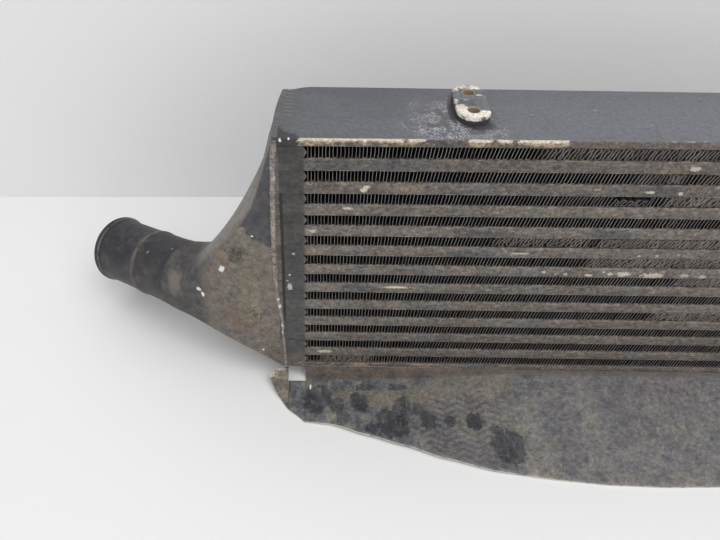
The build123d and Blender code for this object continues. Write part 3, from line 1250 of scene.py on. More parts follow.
@dataclass(frozen=True)
class GuideMetal:
    """Sheet air guide: blue-black paint clouded with tan dust, stains and scratches."""

    name: str = "guide_metal"
    seed: float = 0.0
    level: float = -13.0
    dark_spots: Sequence[tuple[float, float, float, float, float]] = (
        (-137.3, -82.3, 7.6, 1.0, 0.95), (-156.5, -82.5, 4.6, 1.0, 0.85),
        (-175.1, -82.0, 6.0, 0.7, 0.85), (-206.0, -86.0, 13.5, 1.0, 0.9),
        (-222.0, -91.0, 6.0, 1.2, 0.8), (-113.5, -104.0, 12.5, 0.8, 0.85),
        (-232.0, -64.0, 7.5, 0.8, 0.8), (-252.0, -66.0, 6.5, 0.9, 0.75),
        (-268.0, -62.0, 11.0, 0.7, 0.75), (-196.0, -70.0, 8.0, 0.8, 0.6),
        (-226.0, -47.0, 8.0, 2.2, 0.7), (-200.0, -47.5, 7.0, 2.2, 0.75),
        (-246.0, -80.0, 6.0, 1.0, 0.6), (-181.0, -72.0, 6.0, 0.9, 0.6),
    )
    tan_spots: Sequence[tuple[float, float, float, float]] = (
        (-243.0, -56.0, 9.0, 0.6), (-212.0, -60.0, 12.0, 0.75), (-180.0, -57.0, 10.0, 0.75),
        (-150.0, -48.0, 16.0, 0.5), (-120.0, -50.0, 18.0, 0.5), (-127.0, -98.0, 7.0, 0.5),
        (-118.0, -80.0, 8.0, 0.4), (-167.0, -72.0, 6.0, 0.5),
    )

    def make(self) -> Material:
        """Build the material."""
        s = Shader(self.name, self.seed)
        flat = (1.0, 1.0, 0.6)
        cloud = s.grain(34.0, 5.0, 0.65, stretch=flat)
        mid = s.grain(10.0, 5.0, 0.72, stretch=flat, shift=19)
        fine = s.grain(1.7, 3.0, 0.72, shift=55)
        right = s.x.step(-130, -40)
        tint = s.ramp(
            cloud * 0.5 + mid * 0.5,
            (0.38, 66, 68, 78), (0.46, 90, 92, 98),
            (0.53, 112, 111, 109), (0.62, 136, 131, 120),
        )
        even = s.ramp(
            cloud * 0.5 + mid * 0.5,
            (0.38, 94, 92, 96), (0.50, 112, 109, 110), (0.64, 128, 122, 115),
        )
        tint.lay(right * 0.85, even)
        for x, y, radius, amount in self.tan_spots:
            spot = s.near((x, y, self.level), radius, 1.1, 0.7, (0.8, 1.2, 0.3))
            tint.lay(spot * amount, (126, 119, 104))
        waves = self.stain(s, tint, mid)
        drag = s.grain(2.2, 3.0, 0.7, stretch=(1.0, 0.16, 0.6), shift=61)
        tint.lay(drag.step(0.56, 0.70) * 0.4, (140, 136, 128))
        across = s.grain(2.0, 3.0, 0.7, stretch=(0.10, 1.0, 0.6), shift=65)
        tint.lay(across.step(0.60, 0.70) * 0.3, (134, 132, 130))
        tint.mottle(4.4, 0.45, 0.25, shift=41)
        tint.mottle(2.2, 0.38, 0.12, shift=42)
        for y, end in ((-47.2, -219.0), (-49.0, -150.0)):
            mark = s.line((end - 60.0, y, self.level), (end, y + 0.6, self.level), 0.7)
            tint.lay(mark * 0.55, (52, 52, 58))
        flake = s.near((-274.3, -47.3, self.level), 1.8, 0.3, 0.7, (2.2, 0.6, 0.5))
        tint.lay(flake, (232, 234, 236))
        tint.lay(s.flecks(4.0, 0.05, shift=3) * 0.5, (168, 162, 150))
        self.edges(s, tint, mid, fine)
        rough = 0.46 + fine * 0.2 + waves * 0.1
        height = fine * 0.3 + mid * 0.4
        return s.close(tint, rough, 0.03, height, 0.3)

    def stain(self, s: Shader, tint: Coat, mid: Value) -> Value:
        """Lay dried wavy drips and dark spots.

        Args:
            s: The material in hand.
            tint: Its coat so far.
            mid: Middle-sized noise.

        Returns:
            1 on the pale waves.
        """
        tooth = s.math("PINGPONG", s.x + (mid - 0.5) * 4.0 + 6.0, 12.0)
        level = s.math("PINGPONG", s.y + tooth * 0.55 + (mid - 0.5) * 3.0, 3.1)
        drips = s.near((-148, -86, self.level), 38.0, 0.9, 0.6, (0.85, 1.0, 0.3))
        waves = level.step(1.9, 0.7) * drips
        tint.lay(drips * 0.45, (92, 90, 92))
        tint.lay(waves * 0.4, (126, 121, 113))
        tint.lay(level.step(2.1, 2.9) * drips * 0.4, (66, 65, 70))
        for x, y, radius, tall, amount in self.dark_spots:
            spot = s.near((x, y, self.level), radius * 1.05, 0.28, 0.75, (1.0, tall, 0.3))
            dark = s.coat(mid.step(0.4, 0.6), (38, 40, 45), (62, 64, 72))
            tint.lay(spot * (amount * 0.95), dark)
        return waves

    def edges(self, s: Shader, tint: Coat, mid: Value, fine: Value) -> None:
        """Colour the ear, the flange under the core and the bare front rim.

        Args:
            s: The material in hand.
            tint: Its coat so far.
            mid: Middle-sized noise.
            fine: Fine noise.
        """
        # the ear is tan, the flange under the core is brown
        ear = s.x.step(-289, -294)
        ear_tint = s.coat(mid.step(0.4, 0.6), (98, 90, 80), (122, 112, 100))
        ear_tint.lay(s.flecks(6.0, 0.16, shift=13) * 0.7, (62, 56, 50))
        tint.lay(ear * 0.9, ear_tint.mottle(3.0, 0.6, 0.3, shift=15))
        torn = s.near((-311, -38.0, -7), 4.0, 0.4, 0.8, (0.7, 0.8, 0.4)) | s.near(
            (-304, -34.0, -4), 3.0, 0.4, 0.8, (0.4, 1.6, 0.4)
        )
        tint.lay(torn * fine.step(0.38, 0.5) * ear * 0.85, (206, 202, 194))
        brown = s.y.step(-39.2, -37.4)
        flange = s.coat(mid.step(0.4, 0.62), (90, 79, 74), (112, 100, 93))
        flange.lay(s.x.step(-180, -100) * 0.6, (104, 100, 96))
        tint.lay(brown * (1.0 - ear) * 0.9, flange.mottle(3.0, 0.5, 0.3, shift=25))
        # bare rim of the front edge
        up = abs(s.normal("Z")).step(0.80, 0.45)
        bare = s.grain(4.0, 4.0, 0.75, shift=47).step(0.34, 0.50)
        rim = up * (1.0 - brown) * bare
        tint.lay(rim * 0.9, (204, 194, 182))


@dataclass(frozen=True)
class PlainStrip:
    """Clean folded strip inside the charge passages."""

    name: str = "inner_strip"

    def make(self) -> Material:
        """Build the material."""
        s = Shader(self.name)
        fine = s.grain(3.0, 3.0)
        tint = s.coat(fine.step(0.4, 0.6), (120, 120, 120), (150, 149, 147))
        return s.close(tint, 0.35 + fine * 0.2, 0.6, fine * 0.2, 0.2)


# ============================================================ core pieces
@dataclass
class SidePlate:
    """Thick plate over or under the core."""

    name: str
    low: float
    skew: float = 0.0
    cut: float = 0.0
    wave: float = 0.12
    ease: float = 0.7
    bent_from: float = -270.0
    bent_run: float = 330.0
    cut_from: float = -280.0
    cut_run: float = 15.0
    steps: int = 100

    def rear_shift(self, x: float) -> float:
        """How far the rear edge lies off its line, bent back at the left and cut at the corner."""
        share = clamp((x - self.bent_from) / self.bent_run)
        corner = clamp((self.cut_from - x) / self.cut_run)
        return self.skew * (1.0 - 2.0 * share) - self.cut * corner * (2.0 - corner)

    def build(self, material: Material) -> Piece:
        """Build the plate with eased arrises and slightly uneven edges.

        Args:
            material: Its paint.

        Returns:
            The piece.
        """
        deep, rise, ease = CORE.depth / 2, CORE.plate, self.ease
        slim = ease * 0.3
        profile = (
            (-deep, ease), (-deep + slim, slim), (-deep + ease, 0.0), (deep - ease, 0.0),
            (deep, ease), (deep, rise - ease), (deep - ease, rise),
            (-deep + ease, rise), (-deep + slim, rise - slim), (-deep, rise - ease),
        )
        rings = []
        for x in CORE.stations(self.steps):
            dent = self.wave * (0.5 + 0.5 * bend_noise(x * 0.05, 3.1, self.low))
            ring = []
            for y, z in profile:
                back = y + (dent if y < 0 else self.rear_shift(x) - dent)
                along = max(x, -CORE.half + CORE.cut_back(back, self.cut))
                ring.append(Vector((along, back, z + self.low)))
            rings.append(ring)
        bm = bmesh.new()
        solid(bm, rings)
        return keep(bm, f"{self.name}_shell", material, [self.name], 50)


@dataclass
class Passage:
    """Charge passage: two parting sheets with a solid bar at the front and rear."""

    index: int
    steps: int = 90
    ease: float = 0.45
    least_ease: float = 0.02
    lip: float = 0.35
    least_lip: float = 0.04
    dressed: float = 16.0
    fade: float = 6.0

    def calm(self, x: float) -> float:
        """1 along the fins, falling to 0 at the dressed ends of the core."""
        return clamp((CORE.half - self.dressed - abs(x)) / self.fade)

    def bar_profile(self, x: float) -> list[tuple[float, float, bool]]:
        """Section of a bar as depth behind its face, height and whether it may dent."""
        high, deep = CORE.passage_height / 2 - CORE.sheet, CORE.bar
        ease = self.ease * self.calm(x) + self.least_ease
        slim = ease * 0.3
        return [
            (0.0, -high + ease, True), (slim, -high + slim, True),
            (ease, -high, False), (deep, -high, False), (deep, high, False),
            (ease, high, False), (slim, high - slim, True),
            (0.0, high - ease, True), (0.0, high * 0.35, True), (0.0, -high * 0.35, True),
        ]

    def add_bar(self, bm: BMesh, face: int) -> None:
        """Add one bar with a slightly dented face.

        Args:
            bm: The mesh.
            face: -1 for the front one and 1 for the rear one.
        """
        middle = CORE.passage_middle(self.index)
        rings = []
        for x in CORE.stations(self.steps):
            ring = []
            for deep, high, dents in self.bar_profile(x):
                uneven = 0.0
                if dents:
                    wave = bend_noise(x * 0.06, middle * 0.7, high * 0.3 + face)
                    uneven = self.least_lip + self.calm(x) * (0.10 + 0.12 * wave)
                ring.append(Vector((x, face * (CORE.depth / 2 - deep - uneven), middle + high)))
            rings.append(ring)
        solid(bm, rings)

    def add_sheet(self, bm: BMesh, height: float) -> None:
        """Add one parting sheet, with edges that wander a little.

        Args:
            bm: The mesh.
            height: Its middle height.
        """
        thick = CORE.sheet / 2
        rings = []
        for x in CORE.stations(self.steps):
            wander = self.lip + 0.2 * bend_noise(x * 0.09, height * 0.9, 0.0)
            back = self.calm(x) * wander + self.least_lip
            front, rear = CORE.front + back, CORE.depth / 2 - back
            corners = ((front, -thick), (rear, -thick), (rear, thick), (front, thick))
            rings.append([Vector((x, y, height + z)) for y, z in corners])
        solid(bm, rings)

    def build(self, material: Material) -> Piece:
        """Build both bars and both sheets.

        Args:
            material: Their metal.

        Returns:
            The piece.
        """
        bm = bmesh.new()
        for face in (-1, 1):
            self.add_bar(bm, face)
        for side in (-1, 1):
            apart = side * (CORE.passage_height - CORE.sheet) / 2
            self.add_sheet(bm, CORE.passage_middle(self.index) + apart)
        node = f"passage_{self.index + 1:02d}"
        return keep(bm, f"{node}_bars", material, [node], 50)


@dataclass
class EndBars:
    """Twelve bars that close the ends of the fin rows on one side."""

    side: Side
    ease: float = 0.03
    recess: float = 0.04

    def build(self, material: Material) -> Piece:
        """Build all twelve bars.

        Args:
            material: Their metal.

        Returns:
            The piece.
        """
        bm = bmesh.new()
        half, high, deep = CORE.half, CORE.fin_height / 2, CORE.depth / 2 - self.recess
        inner = half - CORE.end_bar
        outline = (
            (half, -high), (half, high), (inner, high), (inner - CORE.nose, 0.0), (inner, -high),
        )
        for row in range(CORE.rows):
            cut = CORE.corner_cut if row == CORE.rows - 1 and self.side is Side.LEFT else 0.0
            rings = []
            for y, pinch, back in (
                (-deep, self.ease, 0.0), (-deep + self.ease, 0.0, 0.0),
                (deep - self.ease, 0.0, cut), (deep, self.ease, cut),
            ):
                ring = []
                for x, z in outline:
                    along = x - (pinch + back) if x == half else x + pinch
                    height = CORE.row_middle(row) + z * (1 - pinch / high)
                    ring.append(Vector((self.side.value * along, y, height)))
                rings.append(ring)
            solid(bm, rings)
        node = f"end_bars_{self.side.word}"
        return keep(bm, f"{node}_eased", material, [node], 40)


@dataclass(frozen=True)
class Crush:
    """A stretch of fins that something has knocked."""

    start: float
    end: float
    lean: float = 0.0
    slump: float = 0.0
    ruffle: float = 0.0
    push: float = 0.0
    fold: float = 0.0
    edge: float = 5.0

    def weight(self, x: float) -> float:
        """How strongly it acts at a place along the row."""
        inside = min(x - self.start, self.end - x)
        return smooth(clamp((inside + self.edge) / (2 * self.edge)))


@dataclass
class FinRow:
    """One row of the folded fin pack, with its bent and crushed stretches."""

    index: int
    crushes: Sequence[Crush] = ()
    walls: int = 224
    span: float = 554.0
    stock: float = 0.30
    recess: float = 0.8
    bent_depth: float = 9.0
    play: float = 0.04
    end_play: float = 0.2
    face_play: float = 0.25
    depths: Sequence[float] = (0.0, 1.2, 3.2, 7.0, 14.0, 60.0, 67.2, 68.4)
    heights: Sequence[float] = (-0.5, -0.42, -0.2, 0.05, 0.3, 0.5)

    def bend(self, x: float, share: float, deep: float) -> Vector:
        """How far a point of the strip is out of place.

        Args:
            x: Its place along the row.
            share: Its height as a share of the row, from -0.5 to 0.5.
            deep: Its distance behind the front edge.

        Returns:
            The move.
        """
        in_front = deep < self.depths[-1] / 2
        near = max(0.0, 1.0 - min(deep, self.depths[-1] - deep) / self.bent_depth) ** 1.5
        row = self.index * 7.3
        wave = bend_noise(x * 0.11, row, deep * 0.02) * 0.55 + bend_noise(x * 0.6, row, 4.0) * 0.42
        inward = near * (0.25 + 0.35 * bend_noise(x * 0.35, row, 9.0))
        move = Vector(
            (
                wave * (1.0 - (2 * share) ** 2) * near, inward if in_front else -inward,
                near * 0.16 * bend_noise(x * 0.3, row, 21.0),
            )
        )
        if not in_front:
            return move
        tilt = 1.9 * smooth(clamp((x + 268.0) / 140.0))
        move.x += near * tilt * (1.0 + 0.35 * bend_noise(x * 0.02, row, 33.0)) * share
        for crush in self.crushes:
            weight = crush.weight(x) * near
            if weight > 0:
                noisy = bend_noise(x * 0.33, row, 2.0)
                sharp = bend_noise(x * 0.95, row, share * 4.0)
                move.x += weight * (crush.lean * (share + 0.5) + crush.ruffle * sharp * 2.4)
                move.z += weight * crush.slump * (share + 0.5) * (1.0 + 0.5 * noisy)
                move.y += weight * (crush.push + crush.ruffle * 0.9 * noisy)
                if deep == 0:
                    move.x += weight * crush.fold * (1.95 + 0.5 * noisy)
        return move

    def place(self, x: float, share: float, deep: float) -> Vector:
        """A point of the strip where it ends up, kept inside the row.

        Args:
            x: Its place along the row.
            share: Its height as a share of the row, from -0.5 to 0.5.
            deep: Its distance behind the front edge.

        Returns:
            The point.
        """
        middle, tall = CORE.row_middle(self.index), CORE.fin_height - self.stock - self.play
        spot = Vector((x, CORE.front + self.recess + deep, middle + share * tall))
        spot += self.bend(x, share, deep)
        end = self.span / 2 - self.end_play
        return Vector(
            (
                max(-end, min(end, spot.x)), max(CORE.front + self.face_play, spot.y),
                max(middle - tall / 2, min(middle + tall / 2, spot.z)),
            )
        )

    def build(self, material: Material) -> Piece:
        """Fold the strip, bend it and give it its thickness.

        Args:
            material: Its metal.

        Returns:
            The piece.
        """
        chain: list[tuple[float, float]] = []
        for wall in range(self.walls + 1):
            x = -self.span / 2 + wall * (self.span / self.walls)
            chain += [(x, share) for share in self.heights[:: -1 if wall % 2 else 1]]
        rings = [[self.place(x, share, deep) for x, share in chain] for deep in self.depths]
        bm = bmesh.new()
        deep_layer = bm.verts.layers.float.new("deep")
        fold_layer = bm.verts.layers.float.new("folded")
        for line, deep in zip(loft(bm, rings, closed=False), self.depths):
            front = deep < CORE.depth / 2
            back = deep if front else self.depths[-1] - deep
            for vert, (x, _) in zip(line, chain):
                vert[deep_layer] = min(1.0, back / self.depths[1])
                if front:
                    folds = (crush.weight(x) * crush.fold for crush in self.crushes)
                    vert[fold_layer] = max(folds, default=0.0)
        bmesh.ops.recalc_face_normals(bm, faces=bm.faces)
        node = f"fin_row_{self.index + 1:02d}"
        piece = keep(bm, f"{node}_strip", material, [node], 40, outward=False)
        thicken(piece, "stock", self.stock)
        return piece


# ============================================================ tanks
@dataclass
class Tank:
    """Swept end tank that narrows from the whole core end to a round neck."""

    side: Side
    wall: float = 4.0
    dent_size: float = 0.5
    neck_reach: float = 86.0
    neck_shift: float = 28.6
    neck_sweep: float = 36.0
    neck_dip: float = 10.0
    neck_height: float = 48.7
    neck: float = 63.0
    base_radius: float = 4.0
    round_share: float = 0.985
    curve_share: float = 0.55
    stations: Sequence[tuple[float, ...]] = (
        (0.000, 0.000, 0.000, 0.000, 0.000, 0.000, 0.000),
        (0.151, 0.000, 0.111, 0.143, 0.578, 0.373, 0.040),
        (0.349, 0.085, 0.333, 0.214, 1.064, 0.597, 0.200),
        (0.558, 0.343, 0.611, 0.736, 1.267, 0.803, 0.345),
        (0.767, 0.666, 0.861, 0.864, 1.244, 0.976, 0.655),
        (1.000, 1.000, 1.000, 1.000, 1.000, 1.000, 1.000),
    )
    between: int = 6
    corner: int = 9
    flat: int = 7

    def sizes(self, at: float) -> tuple[float, ...]:
        """Sizes of the section at a place along the tank.

        Args:
            at: 0 at the core and one more at each station after it.

        Returns:
            Reach, shift, turn as a share of the neck's, depth, underside, top and
            corner radius.
        """
        last = len(self.stations) - 1
        i = min(int(at), last - 1)
        t = at - i
        rows = (self.stations[j] for j in (max(i - 1, 0), i, i + 1, min(i + 2, last)))
        shares = []
        for p, q, r, u in zip(*rows):
            curve = 0.5 * (
                2 * q + (r - p) * t + (2 * p - 5 * q + 4 * r - u) * t * t
                + (3 * q - p - 3 * r + u) * t ** 3
            )
            straight = q + (r - q) * t
            shares.append(straight * (1.0 - self.curve_share) + curve * self.curve_share)
        reach, shift, turn, depth, under, top, round_off = shares
        half = self.neck / 2
        return (
            reach * self.neck_reach, shift * self.neck_shift, turn,
            CORE.depth + (self.neck - CORE.depth) * depth,
            (self.neck_height - half) * under,
            CORE.height + (self.neck_height + half - CORE.height) * top,
            self.base_radius + (half * self.round_share - self.base_radius) * round_off,
        )

    def section(self, at: float) -> list[Vector]:
        """One ring of the tank in place.

        Args:
            at: Place along the tank, as for sizes.

        Returns:
            Its points, starting at the middle of the front face and going up.
        """
        reach, shift, turn, depth, low, high, corner = self.sizes(at)
        sweep, dip = radians(self.neck_sweep * turn), radians(self.neck_dip * turn)
        forward = Vector((-sin(sweep), -cos(sweep), 0.0))
        upward = Vector((-cos(sweep) * sin(dip), sin(sweep) * sin(dip), cos(dip)))
        half_d, half_h = depth / 2, (high - low) / 2
        corner = min(corner, half_d - 0.01, half_h - 0.01)
        arcs = []
        for quarter, (ahead, above) in enumerate(((1, 1), (-1, 1), (-1, -1), (1, -1))):
            angles = spread(pi / 2 * quarter, pi / 2 * (quarter + 1), self.corner)
            middle = (ahead * (half_d - corner), above * (half_h - corner))
            arcs.append(
                [(middle[0] + corner * cos(a), middle[1] + corner * sin(a)) for a in angles]
            )
        points = []
        for arc, after in zip(arcs, arcs[1:] + arcs[:1]):
            (a, b), (c, d) = arc[-1], after[0]
            shares = [k / self.flat for k in range(1, self.flat)]
            points += arc + [(a + (c - a) * share, b + (d - b) * share) for share in shares]
        centre = Vector((-CORE.half - reach, shift, (low + high) / 2))
        return [centre + forward * across + upward * up for across, up in points]

    def dent(self, place: Vector, at: float) -> Vector:
        """Cast and hammered unevenness, fading to nothing at both ends.

        Args:
            place: A point of the tank.
            at: Its place along the tank, as for sizes.

        Returns:
            The move.
        """
        fade = min(1.0, at / 0.8) * min(1.0, (len(self.stations) - 1 - at) / 0.5)
        seed = 0.0 if self.side is Side.LEFT else 50.0
        wave = bend_noise(place.x * 0.035 + seed, place.y * 0.03, place.z * 0.03)
        move = Vector((0.3, 1.0, 0.0)) * (wave * self.dent_size * fade * (1 if place.y < 0 else -1))
        if self.side is Side.LEFT:
            cut = CORE.cut_back(place.y, CORE.corner_cut) * CORE.cut_share(place.z)
            move.x += cut * max(0.0, 1 - at)
        return move

    def build(self, material: Material) -> Piece:
        """Build the tank's shell.

        Args:
            material: Its metal.

        Returns:
            The piece.
        """
        count = (len(self.stations) - 1) * self.between
        places = [i / self.between for i in range(count + 1)]
        outer = [[p + self.dent(p, at) for p in self.section(at)] for at in places]
        inner = []
        for ring in reversed(outer):
            middle = sum(ring, Vector()) / len(ring)
            ways = [middle - p for p in ring]
            inner.append(
                [p + w * min(0.5, self.wall / max(w.length, 1.0)) for p, w in zip(ring, ways)]
            )
        node = f"{self.side.word}_tank"
        bm = shell(self.side, outer + inner)
        return keep(bm, f"{node}_shell", material, [node], 28)


@dataclass
class HosePipe:
    """Round hose pipe with a raised ring and a rolled bead at its mouth."""

    side: Side
    origin: Point = (-386.0, 28.6, 48.7)
    sweep: float = 36.0
    dip: float = 10.0
    radius: float = 30.0
    wall: float = 2.0
    dent_size: float = 0.18
    bead_rise: float = 1.3
    segments: int = 96
    outer: Table = (
        (-1.0, 1.05), (0.0, 1.05), (3.0, 1.0), (8.0, 0.75), (14.0, 0.35), (20.0, 0.1),
        (30.0, 0.0), (37.0, 0.15), (39.0, 0.45), (40.6, 0.8), (41.8, 0.9), (43.0, 0.8),
        (44.6, 0.4), (46.5, 0.1), (54.0, -0.15), (66.0, -0.35), (80.0, -0.3), (87.0, -0.1),
        (90.0, 0.2), (91.4, 0.7), (92.6, 1.35), (93.8, 1.68), (95.0, 1.6), (96.1, 1.1),
        (96.6, 0.4), (96.8, -0.3),
    )
    inner: Table = ((96.5, 0.8), (95.4, 0.0), (60.0, -0.3), (-1.0, 0.0))

    def build(self, material: Material) -> Piece:
        """Turn the pipe's profile about its axis.

        Args:
            material: Its metal.

        Returns:
            The piece.
        """
        turn, down = radians(self.sweep), radians(self.dip)
        axis = Vector((-cos(turn) * cos(down), sin(turn) * cos(down), -sin(down)))
        across = Vector((sin(turn), cos(turn), 0.0))
        up = Vector((-cos(turn) * sin(down), sin(turn) * sin(down), cos(down)))
        profile = [(along, self.radius + rise) for along, rise in self.outer]
        profile += [(along, self.radius - self.wall + rise) for along, rise in self.inner]
        rings = []
        for along, radius in profile:
            ring = []
            for k in range(self.segments):
                angle = 2 * pi * k / self.segments
                wave = bend_noise(cos(angle) * 1.4, sin(angle) * 1.4, along * 0.05)
                dent = self.dent_size * wave * clamp(along / 12.0)
                if radius > self.radius + self.bead_rise:
                    dent = min(dent, 0.0)
                reach = radius + dent
                ring.append(
                    Vector(self.origin) + axis * max(along, 0.0)
                    + across * (reach * cos(angle)) + up * (reach * sin(angle))
                )
            rings.append(ring)
        node = f"{self.side.word}_pipe"
        return keep(shell(self.side, rings), f"{node}_turned", material, [node], 40)


@dataclass
class WeldBead:
    """Rippled weld that runs round the joint of core and tank."""

    side: Side
    width: float = 4.4
    rise: float = 2.3
    step: float = 1.1
    arc: int = 8
    corner: float = 2.0
    ripple: float = 4.2
    rear_shift: float = 1.2
    least_rise: float = 0.6
    flush_half: float = 2.3
    sink: float = 0.25
    root: float = 1.2
    drift: Table = (
        (0.0, 4.0), (6.8, 4.1), (22.6, 3.6), (38.0, 2.7), (57.0, 2.4), (71.0, 0.9), (85.0, -0.9),
        (109.0, -2.2), (140.0, -2.4), (181.0, -1.5), (194.0, -1.2), (213.0, -0.6), (227.0, 0.8),
        (240.0, 0.9),
    )

    def path(self) -> Iterator[tuple[Vector, Vector]]:
        """Points round the joint with their outward directions.

        Yields:
            A point and its direction.
        """
        deep, tall, corner = CORE.depth / 2, CORE.height, self.corner
        sides = (
            ((-deep, corner), (-deep, tall - corner), (-1, 0)),
            ((-deep + corner, tall), (deep - corner, tall), (0, 1)),
            ((deep, tall - corner), (deep, corner), (1, 0)),
            ((deep - corner, 0), (-deep + corner, 0), (0, -1)),
        )
        for side in sides:
            start, end, out = (Vector((0, y, z)) for y, z in side)
            count = round((end - start).length / self.step)
            for i in range(count + 1):
                yield start.lerp(end, i / count), out

    def section(self, place: Vector, out: Vector, travelled: float) -> list[Vector]:
        """One ring of the bead.

        Args:
            place: Where it sits on the joint.
            out: Its outward direction.
            travelled: Length of the bead up to it.

        Returns:
            Its points.
        """
        seed = 0.0 if self.side is Side.LEFT else 80.0
        ripple = 0.5 + 0.5 * cos(2 * pi * travelled / self.ripple)
        lump = bend_noise(travelled * 0.16 + seed, 0.0, 0.0)
        lump += 0.6 * bend_noise(travelled * 0.5 + seed, 5.0, 0.0)
        slim = 0.62 + 0.38 * clamp((place.z - 60.0) / 90.0)
        half = self.width / 2 * slim * (0.85 + 0.10 * ripple + 0.18 * lump)
        half = min(half, self.width / 2)
        rise = self.rise * min(1.0, 0.56 + 0.14 * ripple + 0.26 * lump)
        rise = max(self.least_rise, rise)
        shift = follow(self.drift, place.z) + 0.45 * bend_noise(travelled * 0.12, seed, 2.0)
        if out.z > 0:
            # ground flush along the top
            rise, half = 0.33 + 0.12 * ripple, self.flush_half
            shift = self.rear_shift + CORE.cut_back(place.y, CORE.corner_cut)
        elif out.y > 0:
            shift += self.rear_shift + CORE.corner_cut * CORE.cut_share(place.z)
        middle = -CORE.half + shift
        ring = []
        for angle in (pi * k / self.arc for k in range(self.arc + 1)):
            lap = 1.0 + 0.10 * bend_noise(travelled * 0.8, angle * 2.0, seed)
            along = Vector((middle - cos(angle) * half * lap, 0, 0))
            ring.append(place + along + out * (rise * sin(angle) * lap - self.sink))
        inside = place - out * self.root
        return ring + [inside + Vector((middle + half * at, 0, 0)) for at in (0.8, -0.8)]

    def build(self, material: Material) -> Piece:
        """Build the bead.

        Args:
            material: Its metal.

        Returns:
            The piece.
        """
        rings = []
        travelled, last = 0.0, None
        for place, out in self.path():
            travelled += (place - last).length if last else 0.0
            last = place
            rings.append(self.section(place, out, travelled))
        node = f"{self.side.word}_weld"
        return keep(shell(self.side, rings), f"{node}_bead", material, [node], 60)


# ============================================================ lugs and guide
@dataclass
class Lug:
    """Two-hole mounting lug on a side plate."""

    side: Side
    level: str
    base: float
    rise: float
    spacing: float = 25.0
    width: float = 23.0
    hole: float = 8.0
    ease: float = 0.9
    rim: float = 0.4
    arc: int = 20
    hole_arc: int = 32

    def outline(self, inset: float) -> list[tuple[float, float]]:
        """Slot-shaped outline, inset all round."""
        radius = self.width / 2 - inset
        angles = [pi * k / self.arc for k in range(self.arc + 1)]
        return [
            (radius * cos(angle + turn), sign * self.spacing / 2 + radius * sin(angle + turn))
            for sign, turn in ((1, 0), (-1, pi)) for angle in angles
        ]

    def build(self, material: Material) -> Piece:
        """Build the lug with eased rims and two open holes.

        Args:
            material: Its paint.

        Returns:
            The piece.
        """
        middle = Vector((self.side.value * LUG_X, LUG_Y, self.base))
        up, sign = self.rise, (1 if self.rise > 0 else -1)
        levels = (
            (0.0, 0.0), (up - sign * self.ease, 0.0),
            (up - sign * self.ease * 0.3, self.ease * 0.3), (up, self.ease),
        )
        bm = bmesh.new()
        walls = loft(
            bm,
            [[middle + Vector((x, y, z)) for x, y in self.outline(inset)] for z, inset in levels],
        )
        tops, feet = [walls[-1]], [walls[0]]
        turns = [2 * pi * k / self.hole_arc for k in range(self.hole_arc)]
        for place in (-self.spacing / 2, self.spacing / 2):
            rings = []
            for z, grow in ((up, self.rim), (up - sign * self.rim, 0.0), (0.0, 0.0)):
                radius = self.hole / 2 + grow
                rings.append(
                    [middle + Vector((radius * cos(a), place + radius * sin(a), z)) for a in turns]
                )
            made = loft(bm, rings)
            tops.append(made[0])
            feet.append(made[-1])
        for rings, way in ((tops, sign), (feet, -sign)):
            bmesh.ops.triangle_fill(
                bm, use_beauty=True, edges=ring_edges(bm, *rings), normal=(0, 0, way)
            )
        node = f"{self.level}_lug_{self.side.word}"
        return keep(bm, f"{node}_plate", material, [node], 40)


